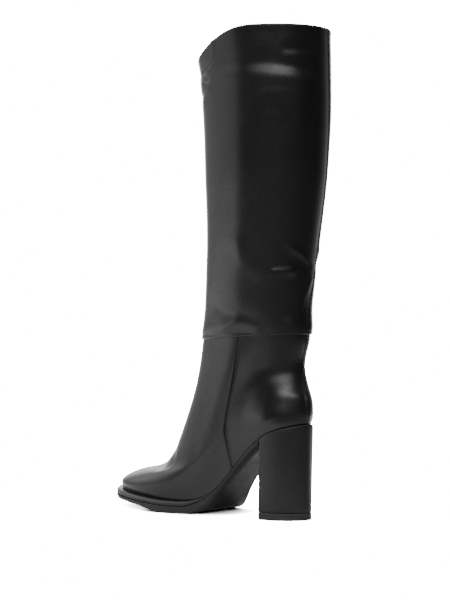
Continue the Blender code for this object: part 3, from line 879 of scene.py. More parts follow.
# How deep the outer and the inner face of each lie below the leather's outer face
FOOT_LINING_DEPTHS = (1.62, 1.8)
SHAFT_LINING_DEPTHS = (1.75, 2.0)
FACING_DEPTHS = (1.0, 2.15)
# Rows of points, as on the leather
FOOT_LINING_ROWS = (0.05, SEAM_ROW + 0.95, 60)
LEG_LINING_ROWS = (0.1, LEG_TOP - FACING_ROWS, 90)
FACING_EVEN_ROWS = (LEG_TOP - FACING_ROWS - 0.06, LEG_TOP - 0.08, 16)
FACING_EDGE_ROWS = (0.05, 0.04, 0.033)


def lining_piece(name, place, row, outer_depth, inner_depth, material, slot):
    """A sleeve inside foot or leg, between two depths below the leather's outer face."""
    columns = np.broadcast_to(round_columns(LINING_COLUMNS), (len(row), LINING_COLUMNS))
    outer, inner = at_depths(place, row[:, None], columns, outer_depth, inner_depth)
    mesh = shell(name, outer, inner, np.zeros(columns.shape), wrap=True)
    finish_piece(name, mesh, finish_material(material), slot)


def lining():
    """Textile lining of foot and leg, with a leather facing inside the collar."""
    row = np.linspace(*FOOT_LINING_ROWS)
    lining_piece("foot_lining", foot, row, *FOOT_LINING_DEPTHS, "dark_lining", "insole_leather")
    row = np.linspace(*LEG_LINING_ROWS)
    lining_piece("shaft_lining", leg, row, *SHAFT_LINING_DEPTHS, "dark_lining", "insole_leather")
    row = np.concatenate([np.linspace(*FACING_EVEN_ROWS), LEG_TOP - np.array(FACING_EDGE_ROWS)])
    lining_piece("collar_facing", leg, row, *FACING_DEPTHS, "black_calf_leather", "black_leather")


# Sole parts lie between outlines that run from the back along the outer side to the front, and home
# along the inner side

FEATHER_POINTS = 2880
FEATHER = foot(0.0, round_columns(FEATHER_POINTS))[:, :2]
FEATHER_OUT = outward(FEATHER)
TIP = len(FEATHER) // 2
BACK_X = FEATHER[0, 0]
TIP_X = FEATHER[TIP, 0]


def feather_at(x, inner):
    """Plan points and normals of the feather line at distances x, on the outer or the inner side."""
    at = np.arange(len(FEATHER))
    if inner:
        index = TIP + np.interp(-np.asarray(x), -FEATHER[TIP:, 0], at[:-TIP])
    else:
        index = np.interp(x, FEATHER[:TIP + 1, 0], at[:TIP + 1])

    def read(line):
        return np.stack([np.interp(index, at, values, period=len(at)) for values in line.T], axis=1)

    return read(FEATHER), read(FEATHER_OUT)


def spread_x(start, end, round_start, round_end, count):
    """Distances from start to end, closer together at a rounded end."""
    t = np.linspace(0, 1, count)
    if round_start and round_end:
        t = (1 - np.cos(np.pi * t)) / 2
    elif round_start:
        t = 1 - np.cos(np.pi / 2 * t)
    elif round_end:
        t = np.sin(np.pi / 2 * t)
    return start + (end - start) * t


def outline(x, offset):
    """Closed outline with the same x along both sides, moved outward by an offset for each x."""
    offset = np.broadcast_to(offset, len(x))
    outer, outer_normal = feather_at(x, False)
    inner, inner_normal = feather_at(x, True)
    outer = outer + outer_normal * offset[:, None]
    inner = inner + inner_normal * offset[:, None]
    return np.concatenate([outer, inner[::-1]])


def ring_at(loop, height):
    """A ring with the plan of a loop, at one height or at a height for each point."""
    return np.column_stack([loop, np.broadcast_to(height, len(loop))])


CAP_SHARES = (0.97, 0.8, 0.4)   # widths of the rings that close a block's top and bottom


def block(name, rings, wear_and_highlight=0.0):
    """A closed solid through rings of equal length, from its top down. Each ring is two mirrored sides."""
    rings = np.array(rings)
    count = rings.shape[1]
    caps = []
    for ring in (rings[0], rings[-1]):
        middle = (ring + ring[::-1]) / 2
        caps.append([middle + (ring - middle) * share for share in CAP_SHARES])
    levels = caps[0][::-1] + list(rings) + caps[1]
    faces = sheet_faces(len(levels), count, 0, True, True)
    for start in (0, (len(levels) - 1) * count):
        faces += [(start + at, start + at + 1, start + count - 2 - at, start + count - 1 - at)
                  for at in range(count // 2 - 1)]
    bare = np.zeros((len(CAP_SHARES), count))
    spread = np.concatenate([bare, np.broadcast_to(wear_and_highlight, rings.shape[:2]), bare])
    return mesh_from(name, np.concatenate(levels), faces, spread)


SOCK_INSET = 2.3
SOCK_THICKNESS = 3.0
PAD_INSET = 5.2
PAD_BOTTOM = 3.02
PAD_TOP = 3.6
PAD_END_X = 58.0
SOCK_EDGE = 1.0           # rounding of the sock's edge
SOCK_UNDERCUT = 0.3       # rounding of its lower edge, as a share of that
SOCK_POINTS = 90


def sock_layer(name, inset, bottom, top, end, *nodes):
    """A layer on the feather line between two heights, to the toe or to a round end at a distance x."""
    start = BACK_X + inset
    x = spread_x(start, end or TIP_X - inset, True, True, SOCK_POINTS)
    edge = min(SOCK_EDGE, (top - bottom) / 2)
    section = [(share * edge, top - edge * (1 - np.sqrt(1 - (1 - share) ** 2)))
               for share in (1.0, 0.6, 0.25, 0.0)]
    under = SOCK_UNDERCUT * edge
    section += [(0.0, bottom + under), (under, bottom)]
    rings = []
    for inwards, height in section:
        loop = outline(x, -inset - inwards)
        if end:
            centre = (start + end) / 2
            reach = (end - start) / 2
            taper = np.sqrt(np.clip(1 - ((loop[:, 0] - centre) / reach) ** 2, 0, 1))
            front = loop[:, 0] > centre
            loop[front, 1] *= taper[front]
        rings.append(ring_at(loop, feather_height(loop[:, 0]) + height))
    finish_piece(name, block(name, rings), finish_material("insole_leather_finish"), "insole_leather", *nodes)


def insole():
    """Board with its sock, and a padded patch under the heel."""
    sock_layer("insole_sock", SOCK_INSET, 0.0, SOCK_THICKNESS, None, "insole")
    sock_layer("heel_pad", PAD_INSET, PAD_BOTTOM, PAD_TOP, PAD_END_X)


# Welt and outsole

WELT_START_X = 94.0
WELT_FULL_X = 120.0
WELT_HEIGHT = 4.6
WELT_END_HEIGHT = 1.2
PROJECTION_START_X = 86.0
WELT_PROJECTION = 4.8
WIDE_START_X = 148.0      # where the sole starts to stand out further towards the toe
WIDE_FULL_X = 206.0
TOE_PROJECTION = 6.2
WAIST_THICKNESS = 5.6
WAIST_END_X = 82.0
FOREFOOT_THICKNESS = 11.9
FOREFOOT_START_X = 102.0
THIN_START_X = 137.0      # where the sole starts to thin out towards the toe
THIN_FULL_X = 176.0
TOE_THICKNESS = 8.4


def projection(x):
    """How far welt and outsole stand out past the feather line."""
    at_toe = (TOE_PROJECTION - WELT_PROJECTION) * smooth_step(x, WIDE_START_X, WIDE_FULL_X)
    return WELT_PROJECTION * smooth_step(x, PROJECTION_START_X, WELT_FULL_X) + at_toe


def welt_height(x):
    """Height of the welt, which thins towards the waist."""
    return WELT_END_HEIGHT + (WELT_HEIGHT - WELT_END_HEIGHT) * smooth_step(x, WELT_START_X, WELT_FULL_X)


def outsole_bottom(x):
    """Height of the outsole's underside."""
    thickness = WAIST_THICKNESS
    thickness += (FOREFOOT_THICKNESS - WAIST_THICKNESS) * smooth_step(x, WAIST_END_X, FOREFOOT_START_X)
    thickness -= (FOREFOOT_THICKNESS - TOE_THICKNESS) * smooth_step(x, THIN_START_X, THIN_FULL_X)
    return np.maximum(feather_height(x) - thickness, 0.0)


# The welt's section: how far out, as a share of its projection, and how far down, as a share of its
# height. Below zero it reaches in under the upper by a share of WELT_PROJECTION.
WELT_SECTION = (
    (-1.45, 0.0), (-0.02, 0.0), (0.1, 0.02), (0.25, 0.0), (0.42, 0.0), (0.58, 0.04), (0.72, 0.12),
    (0.85, 0.24), (0.95, 0.38), (1.0, 0.54), (0.985, 0.7), (0.93, 0.84), (0.86, 0.93), (0.84, 0.99),
    (-1.45, 0.99),
)
WELT_HIGHLIGHT_POINTS = slice(1, 9)   # points of the section on the welt's top, lightened as a painted highlight of the light from above
WELT_HIGHLIGHT = 0.8
WELT_POINTS = 130


def welt():
    """Strip round the forefoot with a rolled outer rim."""
    half = spread_x(WELT_START_X, TIP_X, False, True, WELT_POINTS)
    outer, outer_normal = feather_at(half, False)
    inner, inner_normal = feather_at(half[-2::-1], True)
    points = np.concatenate([outer, inner])
    normal = np.concatenate([outer_normal, inner_normal])
    out = projection(points[:, 0])
    high = welt_height(points[:, 0])
    rails = []
    for across, down in WELT_SECTION:
        reach = across * np.where(across < 0, WELT_PROJECTION, out)
        plan = points + normal * reach[:, None]
        rails.append(ring_at(plan, feather_height(plan[:, 0]) - GAP / 2 - down * high))
    grid = np.stack(rails, axis=1)
    count, sides = grid.shape[:2]
    faces = sheet_faces(count, sides, 0, False, True)
    faces += [tuple(range(sides)), tuple(reversed(range((count - 1) * sides, count * sides)))]
    # painted highlight: the welt's top is lightened where light from above catches it
    wear_and_highlight = np.zeros((count, sides))
    wear_and_highlight[:, WELT_HIGHLIGHT_POINTS] = WELT_HIGHLIGHT
    mesh = mesh_from("welt_strip", grid.reshape(-1, 3), faces, wear_and_highlight)
    finish_piece("welt_strip", mesh, finish_material("waxed_edge"), "sole_edge", "welt")


BAND_START_X = 88.0       # where the outsole's upright edge starts
BAND_FULL_X = 121.0
WAIST_ROUND_OUT = 9.0     # how far the underside's rounding reaches in at the waist, outer side
WAIST_ROUND_IN = 3.0
INNER_SWELL = 5.0         # how much fuller the outsole is behind the ball of the foot, inner side
INNER_SWELL_X = 96.0
INNER_SWELL_LENGTH = 17.0
SOLE_LEAST = 0.6          # least thickness of the outsole
WELT_BED_FADE = 2.0       # how softly the outsole makes room for the welt
WAIST_UPRIGHT = 0.5       # height of the upright edge at the waist
SOLE_CORNER = 0.7         # rounding of that edge's lower corner at the forefoot
SOLE_RIM = ((0.7, 0.0), (0.25, 0.12), (0.0, 0.4))   # inset and depth of the upper corner
RIM_DEPTH = SOLE_RIM[-1][1]
GROOVE_DEPTH = 0.35       # groove along the middle of the upright edge
GROOVE_AT = 0.5
GROOVE_WIDTH = 0.03
BAND_SHARES = (0.3, 0.42, 0.47, 0.5, 0.53, 0.58, 0.75)   # heights of the rings on that edge
SOLE_POINTS = 150
SOLE_ROUND_RINGS = 12


def outsole():
    """Sole with an upright, grooved edge at the forefoot and a full, rounded underside at the waist."""
    x = spread_x(BREAST_X + GAP, TIP_X, False, True, SOLE_POINTS)
    side = outline(x, projection(x))
    swell = INNER_SWELL * np.exp(-((x - INNER_SWELL_X) / INNER_SWELL_LENGTH) ** 2)
    side[len(x):, 1] -= swell[::-1]
    along = np.concatenate([x, x[::-1]])
    under_welt = smooth_step(along, WELT_START_X - WELT_BED_FADE, WELT_START_X + WELT_BED_FADE)
    top = feather_height(along) - GAP - under_welt * (welt_height(along) + GAP / 2)
    tall = np.maximum(top - outsole_bottom(along), SOLE_LEAST)
    band = smooth_step(along, BAND_START_X, BAND_FULL_X)
    upright = WAIST_UPRIGHT + (tall - SOLE_CORNER - WAIST_UPRIGHT) * band
    waist_round = np.repeat([WAIST_ROUND_OUT, WAIST_ROUND_IN], len(x))
    reach = waist_round + (SOLE_CORNER - waist_round) * band
    section = [(np.full(len(along), inset), top - down) for inset, down in SOLE_RIM]
    for share in BAND_SHARES:
        groove = GROOVE_DEPTH * band * np.exp(-((share - GROOVE_AT) / GROOVE_WIDTH) ** 2)
        section.append((groove, top - RIM_DEPTH - (upright - RIM_DEPTH).clip(0.05) * share))
    for turn in np.linspace(0, np.pi / 2, SOLE_ROUND_RINGS):
        section.append((reach * (1 - np.cos(turn)), top - upright - (tall - upright) * np.sin(turn)))
    normal = outward(side)
    rings = []
    for inset, height in section:
        plan = side - normal * inset[:, None]
        plan[:, 0] = np.maximum(plan[:, 0], BREAST_X + GAP)
        rings.append(ring_at(plan, height))
    mesh = block("outsole_rubber", rings)
    finish_piece("outsole_rubber", mesh, finish_material("outsole_rubber_finish"), "sole_rubber", "outsole")


# Heel

TOP_PIECE_HEIGHT = 6.5
HEEL_TOP_LIP = 1.0        # how far the block stands out past the feather line
HEEL_FOOT_BREAST_X = 39.2
HEEL_FOOT_BACK_X = 1.1
HEEL_FOOT_WIDTH_SHARE = 0.93
HEEL_CORNER = 1.3         # rounding of the two upright edges of the breast
HEEL_CORNER_LEAST = 0.2
HEEL_CORNER_POINTS = 7
BREAST_POINTS = 9
HEEL_RIM = 1.3            # rounding of the block's top edge
HEEL_HEM = ((0.0, 0.6), (0.15, 0.25), (0.5, 0.0))   # inset and height of its lowest edge
HEEL_RIM_HIGHLIGHT_RINGS = slice(1, 5)   # rings of the rounded top rim, lightened as a painted highlight
HEEL_RIM_HIGHLIGHT = 0.5
HEEL_POINTS = 70
HEEL_RIM_RINGS = 6
HEEL_SIDE_RINGS = 16
TOP_PIECE_SECTION = (     # inset and height, with a fine groove round the middle
    (0.6, TOP_PIECE_HEIGHT), (0.2, TOP_PIECE_HEIGHT - 0.15), (0.0, TOP_PIECE_HEIGHT - 0.6), (0.0, 3.4),
    (0.18, 3.2), (0.18, 3.0), (0.0, 2.8), (0.0, 1.0), (0.3, 0.3), (1.0, 0.0),
)


def heel_outline(drop, inset):
    """Outline of the heel at a share of its height down from the seat, moved inward by inset."""
    back = BACK_X - HEEL_TOP_LIP
    x = spread_x(BACK_X, BREAST_X - HEEL_CORNER, True, False, HEEL_POINTS)
    side = outline(x, HEEL_TOP_LIP - inset)
    radius = max(HEEL_CORNER - inset, HEEL_CORNER_LEAST)
    turn = np.linspace(0, np.pi / 2, HEEL_CORNER_POINTS)[1:]
    whole = []
    for points in (side[:len(x)], side[len(x):][::-1]):
        last = points[-1]
        inwards = -np.sign(last[1])
        corner = last + radius * np.column_stack([np.sin(turn), inwards * (1 - np.cos(turn))])
        breast = np.linspace(corner[-1], [corner[-1, 0], 0.0], BREAST_POINTS)[1:]
        whole.append(np.concatenate([points, corner, breast]))
    loop = np.concatenate([whole[0], whole[1][::-1]])
    share = (loop[:, 0] - back) / (BREAST_X - back)
    foot_x = HEEL_FOOT_BACK_X + (HEEL_FOOT_BREAST_X - HEEL_FOOT_BACK_X) * share
    foot_loop = np.column_stack([foot_x, HEEL_FOOT_WIDTH_SHARE * loop[:, 1]])
    return loop + (foot_loop - loop) * drop


def heel():
    """Leather-covered block with a rounded top rim, and the rubber top piece under it."""
    foot_z = TOP_PIECE_HEIGHT + GAP
    rings = []
    for turn in np.linspace(np.pi / 2, 0, HEEL_RIM_RINGS):
        loop = heel_outline(0.0, HEEL_RIM * (1 - np.cos(turn)))
        rings.append(ring_at(loop, feather_height(loop[:, 0]) - GAP - HEEL_RIM * (1 - np.sin(turn))))
    seat_z = rings[-1][:, 2]
    for drop in np.linspace(0, 1, HEEL_SIDE_RINGS)[1:-1]:
        rings.append(ring_at(heel_outline(drop, 0.0), seat_z + (foot_z + HEEL_HEM[0][1] - seat_z) * drop))
    rings += [ring_at(heel_outline(1.0, inset), foot_z + height) for inset, height in HEEL_HEM]
    # painted highlight: the heel's top rim is lightened where it catches the light
    wear_and_highlight = np.zeros((len(rings), 1))
    wear_and_highlight[HEEL_RIM_HIGHLIGHT_RINGS] = HEEL_RIM_HIGHLIGHT
    mesh = block("heel_block", rings, wear_and_highlight)
    finish_piece("heel_block", mesh, finish_material("heel_cover_leather"), "heel_cover", "heel")
    rings = [ring_at(heel_outline(1.0, inset), height) for inset, height in TOP_PIECE_SECTION]
    mesh = block("heel_top_piece", rings)
    finish_piece("heel_top_piece", mesh, finish_material("top_piece_finish"), "top_piece_rubber", "top_piece")


# Stitches

QUARTER_ROWS = (1.5, 3.1)   # distances of the two rows of stitches from a quarter's front edge
BACK_ROW = 1.4            # distance of the row beside the seam down the back
HEM_ROW = 0.24            # row of the leg with the stitches of its lower edge
COLLAR_ROW = LEG_TOP - 0.1
FACING_HEM_ROW = LEG_TOP - FACING_ROWS + 0.05
FOOT_SEAM_ROWS = (0.35, SEAM_ROW - 0.12, 160)   # points along a seam: from, to and how many
LEG_SEAM_ROWS = (0.1, LEG_TOP - 0.1, 300)
ROUND_POINTS = 360


def stitch_tree():
    """Geometry nodes that lay a row of stitches along each edge path."""
    tree = bpy.data.node_groups.new("Stitch row", "GeometryNodeTree")
    face = tree.interface
    face.new_socket("Paths", in_out="INPUT", socket_type="NodeSocketGeometry")
    for name in ("Pitch", "Stitch Length", "Thread Radius"):
        face.new_socket(name, in_out="INPUT", socket_type="NodeSocketFloat")
    face.new_socket("Thread", in_out="INPUT", socket_type="NodeSocketMaterial")
    face.new_socket("Stitches", in_out="OUTPUT", socket_type="NodeSocketGeometry")
    entry = node(tree, "NodeGroupInput").outputs
    curve = node(tree, "GeometryNodeMeshToCurve", {"Mesh": entry["Paths"]}).outputs["Curve"]
    steps = {"Curve": curve, "Length": entry["Pitch"]}
    spread = node(tree, "GeometryNodeResampleCurve", steps, mode="LENGTH")
    tangent = node(tree, "GeometryNodeInputTangent").outputs["Tangent"]
    turn = node(tree, "FunctionNodeAlignRotationToVector", {"Vector": tangent}, axis="Z")
    thread = node(tree, "GeometryNodeMeshUVSphere", {"Segments": 6, "Rings": 5, "Radius": 1.0})
    radius = entry["Thread Radius"]
    half = maths(tree, "MULTIPLY", entry["Stitch Length"], 0.5)
    size = node(tree, "ShaderNodeCombineXYZ", {"X": radius, "Y": radius, "Z": half})
    lay = node(tree, "GeometryNodeInstanceOnPoints", {
        "Points": spread.outputs["Curve"],
        "Instance": thread.outputs["Mesh"],
        "Rotation": turn.outputs["Rotation"],
        "Scale": size.outputs["Vector"],
    })
    real = node(tree, "GeometryNodeRealizeInstances", {"Geometry": lay.outputs["Instances"]})
    finish = node(tree, "GeometryNodeSetMaterial", {"Geometry": real.outputs["Geometry"],
                                                    "Material": entry["Thread"]})
    node(tree, "NodeGroupOutput", {"Stitches": finish.outputs["Geometry"]})
    return tree


def stitch_rows(name, open_paths, closed_paths):
    """One piece with a row of stitches along each path."""
    settings = bpy.context.scene.boot_stitching
    points = []
    edges = []
    for path, closed in [(path, False) for path in open_paths] + [(path, True) for path in closed_paths]:
        start = len(points)
        points += [tuple(point) for point in in_frame(path)]
        edges += [(at, at + 1) for at in range(start, len(points) - 1)]
        if closed:
            edges.append((len(points) - 1, start))
    mesh = bpy.data.meshes.new(name + "_paths")
    mesh.from_pydata(points, edges, [])
    holder = bpy.data.objects.new(name + "_paths", mesh)
    bpy.context.scene.collection.objects.link(holder)
    modifier = holder.modifiers.new("Stitches", "NODES")
    modifier.node_group = bpy.data.node_groups.get("Stitch row") or stitch_tree()
    values = {"Pitch": settings.pitch, "Stitch Length": settings.stitch_length,
              "Thread Radius": settings.thread_diameter / 2, "Thread": finish_material("sewing_thread")}
    for item in modifier.node_group.interface.items_tree:
        if item.in_out == "INPUT" and item.name in values:
            modifier[item.identifier] = values[item.name]
    holder.update_tag()
    graph = bpy.context.evaluated_depsgraph_get()
    made = bpy.data.meshes.new_from_object(holder.evaluated_get(graph), depsgraph=graph)
    bpy.data.objects.remove(holder)
    made.name = name
    made.materials.clear()
    finish_piece(name, made, finish_material("sewing_thread"), "black_leather")


def seam_path(place, row, edge, inwards, distance, lift):
    """A path beside a seam, lifted off the leather."""
    return at_depths(place, row, column_beside(place, row, edge, inwards, distance), -lift)[0]


def round_path(row, lift):
    """A path once round the leg, lifted off the leather."""
    return at_depths(leg, row, round_columns(ROUND_POINTS), -lift)[0]


def stitches():
    """Rows of stitches beside the seams, at the shaft's lower edge and round the collar and its facing."""
    row = np.linspace(*FOOT_SEAM_ROWS)
    outer_seam, inner_seam = quarter_seams(row)
    paths = []
    for distance in QUARTER_ROWS:
        paths.append(seam_path(foot, row, outer_seam, -1, distance, lift=0.02))
        paths.append(seam_path(foot, row, inner_seam, 1, distance, lift=0.02))
    paths.append(seam_path(foot, row, back_seam(foot, row), 1, BACK_ROW, lift=0.15))
    stitch_rows("foot_stitches", paths, [])
    row = np.linspace(*LEG_SEAM_ROWS)
    beside_back = seam_path(leg, row, back_seam(leg, row), 1, BACK_ROW, lift=0.18)
    rounds = [round_path(HEM_ROW, lift=0.1), round_path(COLLAR_ROW, lift=0.02),
              round_path(FACING_HEM_ROW, lift=-FACING_DEPTHS[1])]
    stitch_rows("shaft_stitches", [beside_back], rounds)


# Add-on

def colour_setting(**words):
    """A base colour that a user can change."""
    return FloatVectorProperty(size=3, min=0.0, max=1.0, subtype="COLOR", **words)


def length_setting(**words):
    """A length that a user can change."""
    return FloatProperty(subtype="DISTANCE", unit="LENGTH", **words)


class BootLeather(bpy.types.PropertyGroup):
    """How the leather lies and shines."""
    crease_strength: FloatProperty(name="Crease strength", description="Share of the creases' full height",
                                   default=1.0, min=0.0, max=2.0, subtype="FACTOR")
    unevenness: length_setting(name="Unevenness", description="Height of the leather's gentle waves",
                               default=0.00025, min=0.0, max=0.003)
    roughness: FloatProperty(name="Roughness", description="Dullness of the polished leather",
                             default=0.25, min=0.1, max=1.0, subtype="FACTOR")
    grain: FloatProperty(name="Grain", description="Strength of pores and grain",
                         default=0.16, min=0.0, max=1.0, subtype="FACTOR")


class BootColours(bpy.types.PropertyGroup):
    """Base colours of the boot's materials."""
    leather: colour_setting(name="Leather", description="Calf leather of upper, shaft and heel cover",
                            default=(0.006, 0.0062, 0.0064))
    lining: colour_setting(name="Lining", description="Textile lining of foot and leg",
                           default=(0.020, 0.020, 0.021))
    insole: colour_setting(name="Insole", description="Leather sock on the insole",
                           default=(0.045, 0.040, 0.035))
    sole_edge: colour_setting(name="Welt", description="Inked edge of the welt",
                              default=(0.018, 0.018, 0.0185))
    sole_rubber: colour_setting(name="Outsole", description="Rubber of the outsole",
                                default=(0.014, 0.0145, 0.015))
    top_piece: colour_setting(name="Top piece", description="Rubber under the heel",
                              default=(0.024, 0.024, 0.0245))
    thread: colour_setting(name="Thread", description="Sewing thread",
                           default=(0.012, 0.012, 0.0125))


class BootStitching(bpy.types.PropertyGroup):
    """Sizes of the stitching."""
    pitch: length_setting(name="Pitch", description="From one stitch to the next",
                          default=0.0024, min=0.001, max=0.01, precision=4)
    stitch_length: length_setting(name="Stitch length", description="Length of one stitch",
                                  default=0.0018, min=0.0005, max=0.01, precision=4)
    thread_diameter: length_setting(name="Thread", description="Diameter of the thread",
                                    default=0.00036, min=0.0001, max=0.002, precision=5)


class BootStudio(bpy.types.PropertyGroup):
    """Lights and backdrop."""
    backdrop: FloatProperty(name="Backdrop", description="Brightness of floor and backdrop in the picture",
                            default=22.0, min=0.0, max=50.0)
    walls: FloatProperty(name="Walls", description="Brightness of the room that the leather mirrors",
                         default=1.0, min=0.0, max=10.0)
    key: FloatProperty(name="Key light", description="Brightness of the long light above the camera",
                       default=12.0, min=0.0, max=50.0)


class BOOT_OT_upper(bpy.types.Operator):
    """Make the vamp and the two quarters of the foot"""
    bl_idname = "boot.upper"
    bl_label = "Vamp and quarters"

    def execute(self, context):
        vamp()
        quarter("quarter_outer_side", True)
        quarter("quarter_inner_side", False)
        return {"FINISHED"}


class BOOT_OT_shaft(bpy.types.Operator):
    """Make the leather of the leg"""
    bl_idname = "boot.shaft"
    bl_label = "Shaft"

    def execute(self, context):
        shaft()
        return {"FINISHED"}


class BOOT_OT_lining(bpy.types.Operator):
    """Make the lining and the collar's facing"""
    bl_idname = "boot.lining"
    bl_label = "Lining"

    def execute(self, context):
        lining()
        return {"FINISHED"}


class BOOT_OT_insole(bpy.types.Operator):
    """Make the sock and the heel pad"""
    bl_idname = "boot.insole"
    bl_label = "Insole"

    def execute(self, context):
        insole()
        return {"FINISHED"}


class BOOT_OT_sole(bpy.types.Operator):
    """Make the welt and the outsole"""
    bl_idname = "boot.sole"
    bl_label = "Welt and outsole"

    def execute(self, context):
        welt()
        outsole()
        return {"FINISHED"}


class BOOT_OT_heel(bpy.types.Operator):
    """Make the heel block and its top piece"""
    bl_idname = "boot.heel"
    bl_label = "Heel"

    def execute(self, context):
        heel()
        return {"FINISHED"}


class BOOT_OT_stitches(bpy.types.Operator):
    """Sew the seams"""
    bl_idname = "boot.stitches"
    bl_label = "Stitches"

    def execute(self, context):
        stitches()
        return {"FINISHED"}


# The camera looks at the boot from behind its outer side, level and a little below half its height
CAMERA_AZIMUTH = 220.0
CAMERA_DISTANCE = 1.5045
CAMERA_AIM = (57.0, 47.8, 181.4)
CAMERA_FILM = 36.0        # height of the film in mm
CAMERA_LENS = 102.0
CAMERA_SHIFT = 0.0258

# Brightness of the room, near the horizon and higher up, and of the key light, by direction in degrees
# from the camera to the right
Tone = namedtuple("Tone", "turn brightness")
ROOM = (
    Tone(-180, 4.0), Tone(-166, 2.4), Tone(-156, 0.6), Tone(-146, 0.5), Tone(-130, 0.7), Tone(-110, 0.95),
    Tone(-90, 1.1), Tone(-71, 1.08), Tone(-62, 0.23), Tone(-10, 0.22), Tone(30, 0.16), Tone(60, 0.1),
    Tone(100, 0.07), Tone(114, 0.18), Tone(128, 0.42), Tone(144, 0.8), Tone(160, 3.0), Tone(180, 4.0),
)
HIGH_ROOM = (
    Tone(-180, 4.0), Tone(-168, 2.0), Tone(-158, 0.7), Tone(-135, 1.7), Tone(-100, 1.8), Tone(-71, 1.6),
    Tone(-60, 0.22), Tone(30, 0.22), Tone(90, 0.2), Tone(116, 0.3), Tone(144, 0.8), Tone(160, 3.0),
    Tone(180, 4.0),
)
KEY = (
    Tone(-180, 0.0), Tone(-52, 0.0), Tone(-38, 0.25), Tone(-20, 0.75), Tone(-5, 1.0), Tone(10, 0.9),
    Tone(24, 0.5), Tone(36, 0.12), Tone(48, 0.0), Tone(180, 0.0),
)
CEILING = 2.0
# Where room, high room and ceiling give way to each other, and the key light's edges, as heights of a
# unit vector
HIGH_ROOM_EDGE = (0.2, 0.5)
CEILING_EDGE = (0.65, 0.85)
KEY_LOWER_EDGE = (0.325, 0.405)
KEY_UPPER_EDGE = (0.41, 0.49)

# Brightness of the floor in the leather, round the boot and a little further out
CLOSE_FLOOR = (
    Tone(-180, 2.4), Tone(-150, 1.2), Tone(-120, 0.8), Tone(-70, 0.9), Tone(-50, 1.05), Tone(-5, 1.05),
    Tone(30, 0.8), Tone(60, 0.5), Tone(100, 0.4), Tone(130, 1.2), Tone(155, 2.4), Tone(180, 2.4),
)
FLOOR = (
    Tone(-180, 0.9), Tone(-70, 0.9), Tone(-52, 0.95), Tone(-35, 0.95), Tone(-20, 0.45), Tone(-8, 0.34),
    Tone(10, 0.28), Tone(30, 0.32), Tone(50, 0.38), Tone(75, 0.4), Tone(100, 0.7), Tone(125, 2.6),
    Tone(180, 4.0),
)
FAR_FLOOR = 1.2           # brightness of the far floor, as a multiple of the room's
# Sizes on the floor are metres from the frame's origin
FLOOR_SIZE = 14.0
FLOOR_EDGE = (0.17, 0.27)
FAR_FLOOR_EDGE = (0.35, 0.9)
SHADE_BACK_EDGE = (-0.045, -0.02)   # the painted contact shadow is wide between these two edges in X
SHADE_FRONT_EDGE = (0.03, 0.055)
SHADE_REACH = 0.03
SHADE_LEAST = 0.006       # and this wide elsewhere
SHADE_DEPTH = 2.0
FLOOR_BOOST = 2.0         # makes the lit floor as white as the glowing backdrop


def level(azimuth):
    """Level unit vector away from the boot."""
    turn = math.radians(azimuth)
    return Vector((math.sin(turn), -math.cos(turn), 0.0))


def soft_range(tree, value, edges, values=(0.0, 1.0)):
    """A number that goes softly from one value to the other while it passes two edges."""
    inputs = {"Value": value, "From Min": edges[0], "From Max": edges[1],
              "To Min": values[0], "To Max": values[1]}
    return node(tree, "ShaderNodeMapRange", inputs, interpolation_type="SMOOTHSTEP").outputs["Result"]


def share_along(tree, place, azimuth):
    """How far a direction or a place lies towards an azimuth."""
    product = node(tree, "ShaderNodeVectorMath", {0: place, 1: level(azimuth)}, operation="DOT_PRODUCT")
    return product.outputs["Value"]


def tone_by_turn(tree, place, tones):
    """Brightness of a direction or a place on the floor, by its turn from the camera."""
    ahead = share_along(tree, place, CAMERA_AZIMUTH)
    right = share_along(tree, place, CAMERA_AZIMUTH + 90.0)
    turn = maths(tree, "ARCTAN2", right, ahead)
    share = node(tree, "ShaderNodeMapRange", {"Value": turn, "From Min": -math.pi, "From Max": math.pi})
    curve = node(tree, "ShaderNodeFloatCurve", {"Value": share.outputs["Result"]})
    brightest = max(tone.brightness for tone in tones)
    line = curve.mapping.curves[0]
    while len(line.points) < len(tones):
        line.points.new(0.5, 0.5)
    for point, tone in zip(line.points, tones):
        point.location = ((tone.turn + 180) / 360, tone.brightness / brightest)
        point.handle_type = "VECTOR"
    curve.mapping.update()
    return maths(tree, "MULTIPLY", curve.outputs[0], brightest)


def backdrop_world(settings):
    """Walls beside and behind the boot, a long light above the camera, and plain white to the eye."""
    world = bpy.data.worlds.new("studio")
    bpy.context.scene.world = world
    world.use_nodes = True
    tree = world.node_tree
    tree.nodes.clear()
    heading = node(tree, "ShaderNodeTexCoord").outputs["Generated"]
    height = node(tree, "ShaderNodeSeparateXYZ", {0: heading}).outputs["Z"]
    raised = soft_range(tree, height, HIGH_ROOM_EDGE)
    walls = mix(tree, raised, tone_by_turn(tree, heading, ROOM), tone_by_turn(tree, heading, HIGH_ROOM))
    room = mix(tree, soft_range(tree, height, CEILING_EDGE), walls, CEILING)
    rise = soft_range(tree, height, KEY_LOWER_EDGE)
    fall = soft_range(tree, height, KEY_UPPER_EDGE, (settings.key, 0.0))
    key = maths(tree, "MULTIPLY", tone_by_turn(tree, heading, KEY), maths(tree, "MULTIPLY", rise, fall))
    both = maths(tree, "ADD", key, maths(tree, "MULTIPLY", room, settings.walls))
    lit = node(tree, "ShaderNodeBackground", {"Strength": both})
    seen = node(tree, "ShaderNodeBackground", {"Strength": settings.backdrop})
    eye = node(tree, "ShaderNodeLightPath").outputs["Is Camera Ray"]
    choose = node(tree, "ShaderNodeMixShader", {0: eye, 1: lit.outputs[0], 2: seen.outputs[0]})
    node(tree, "ShaderNodeOutputWorld", {"Surface": choose.outputs[0]})


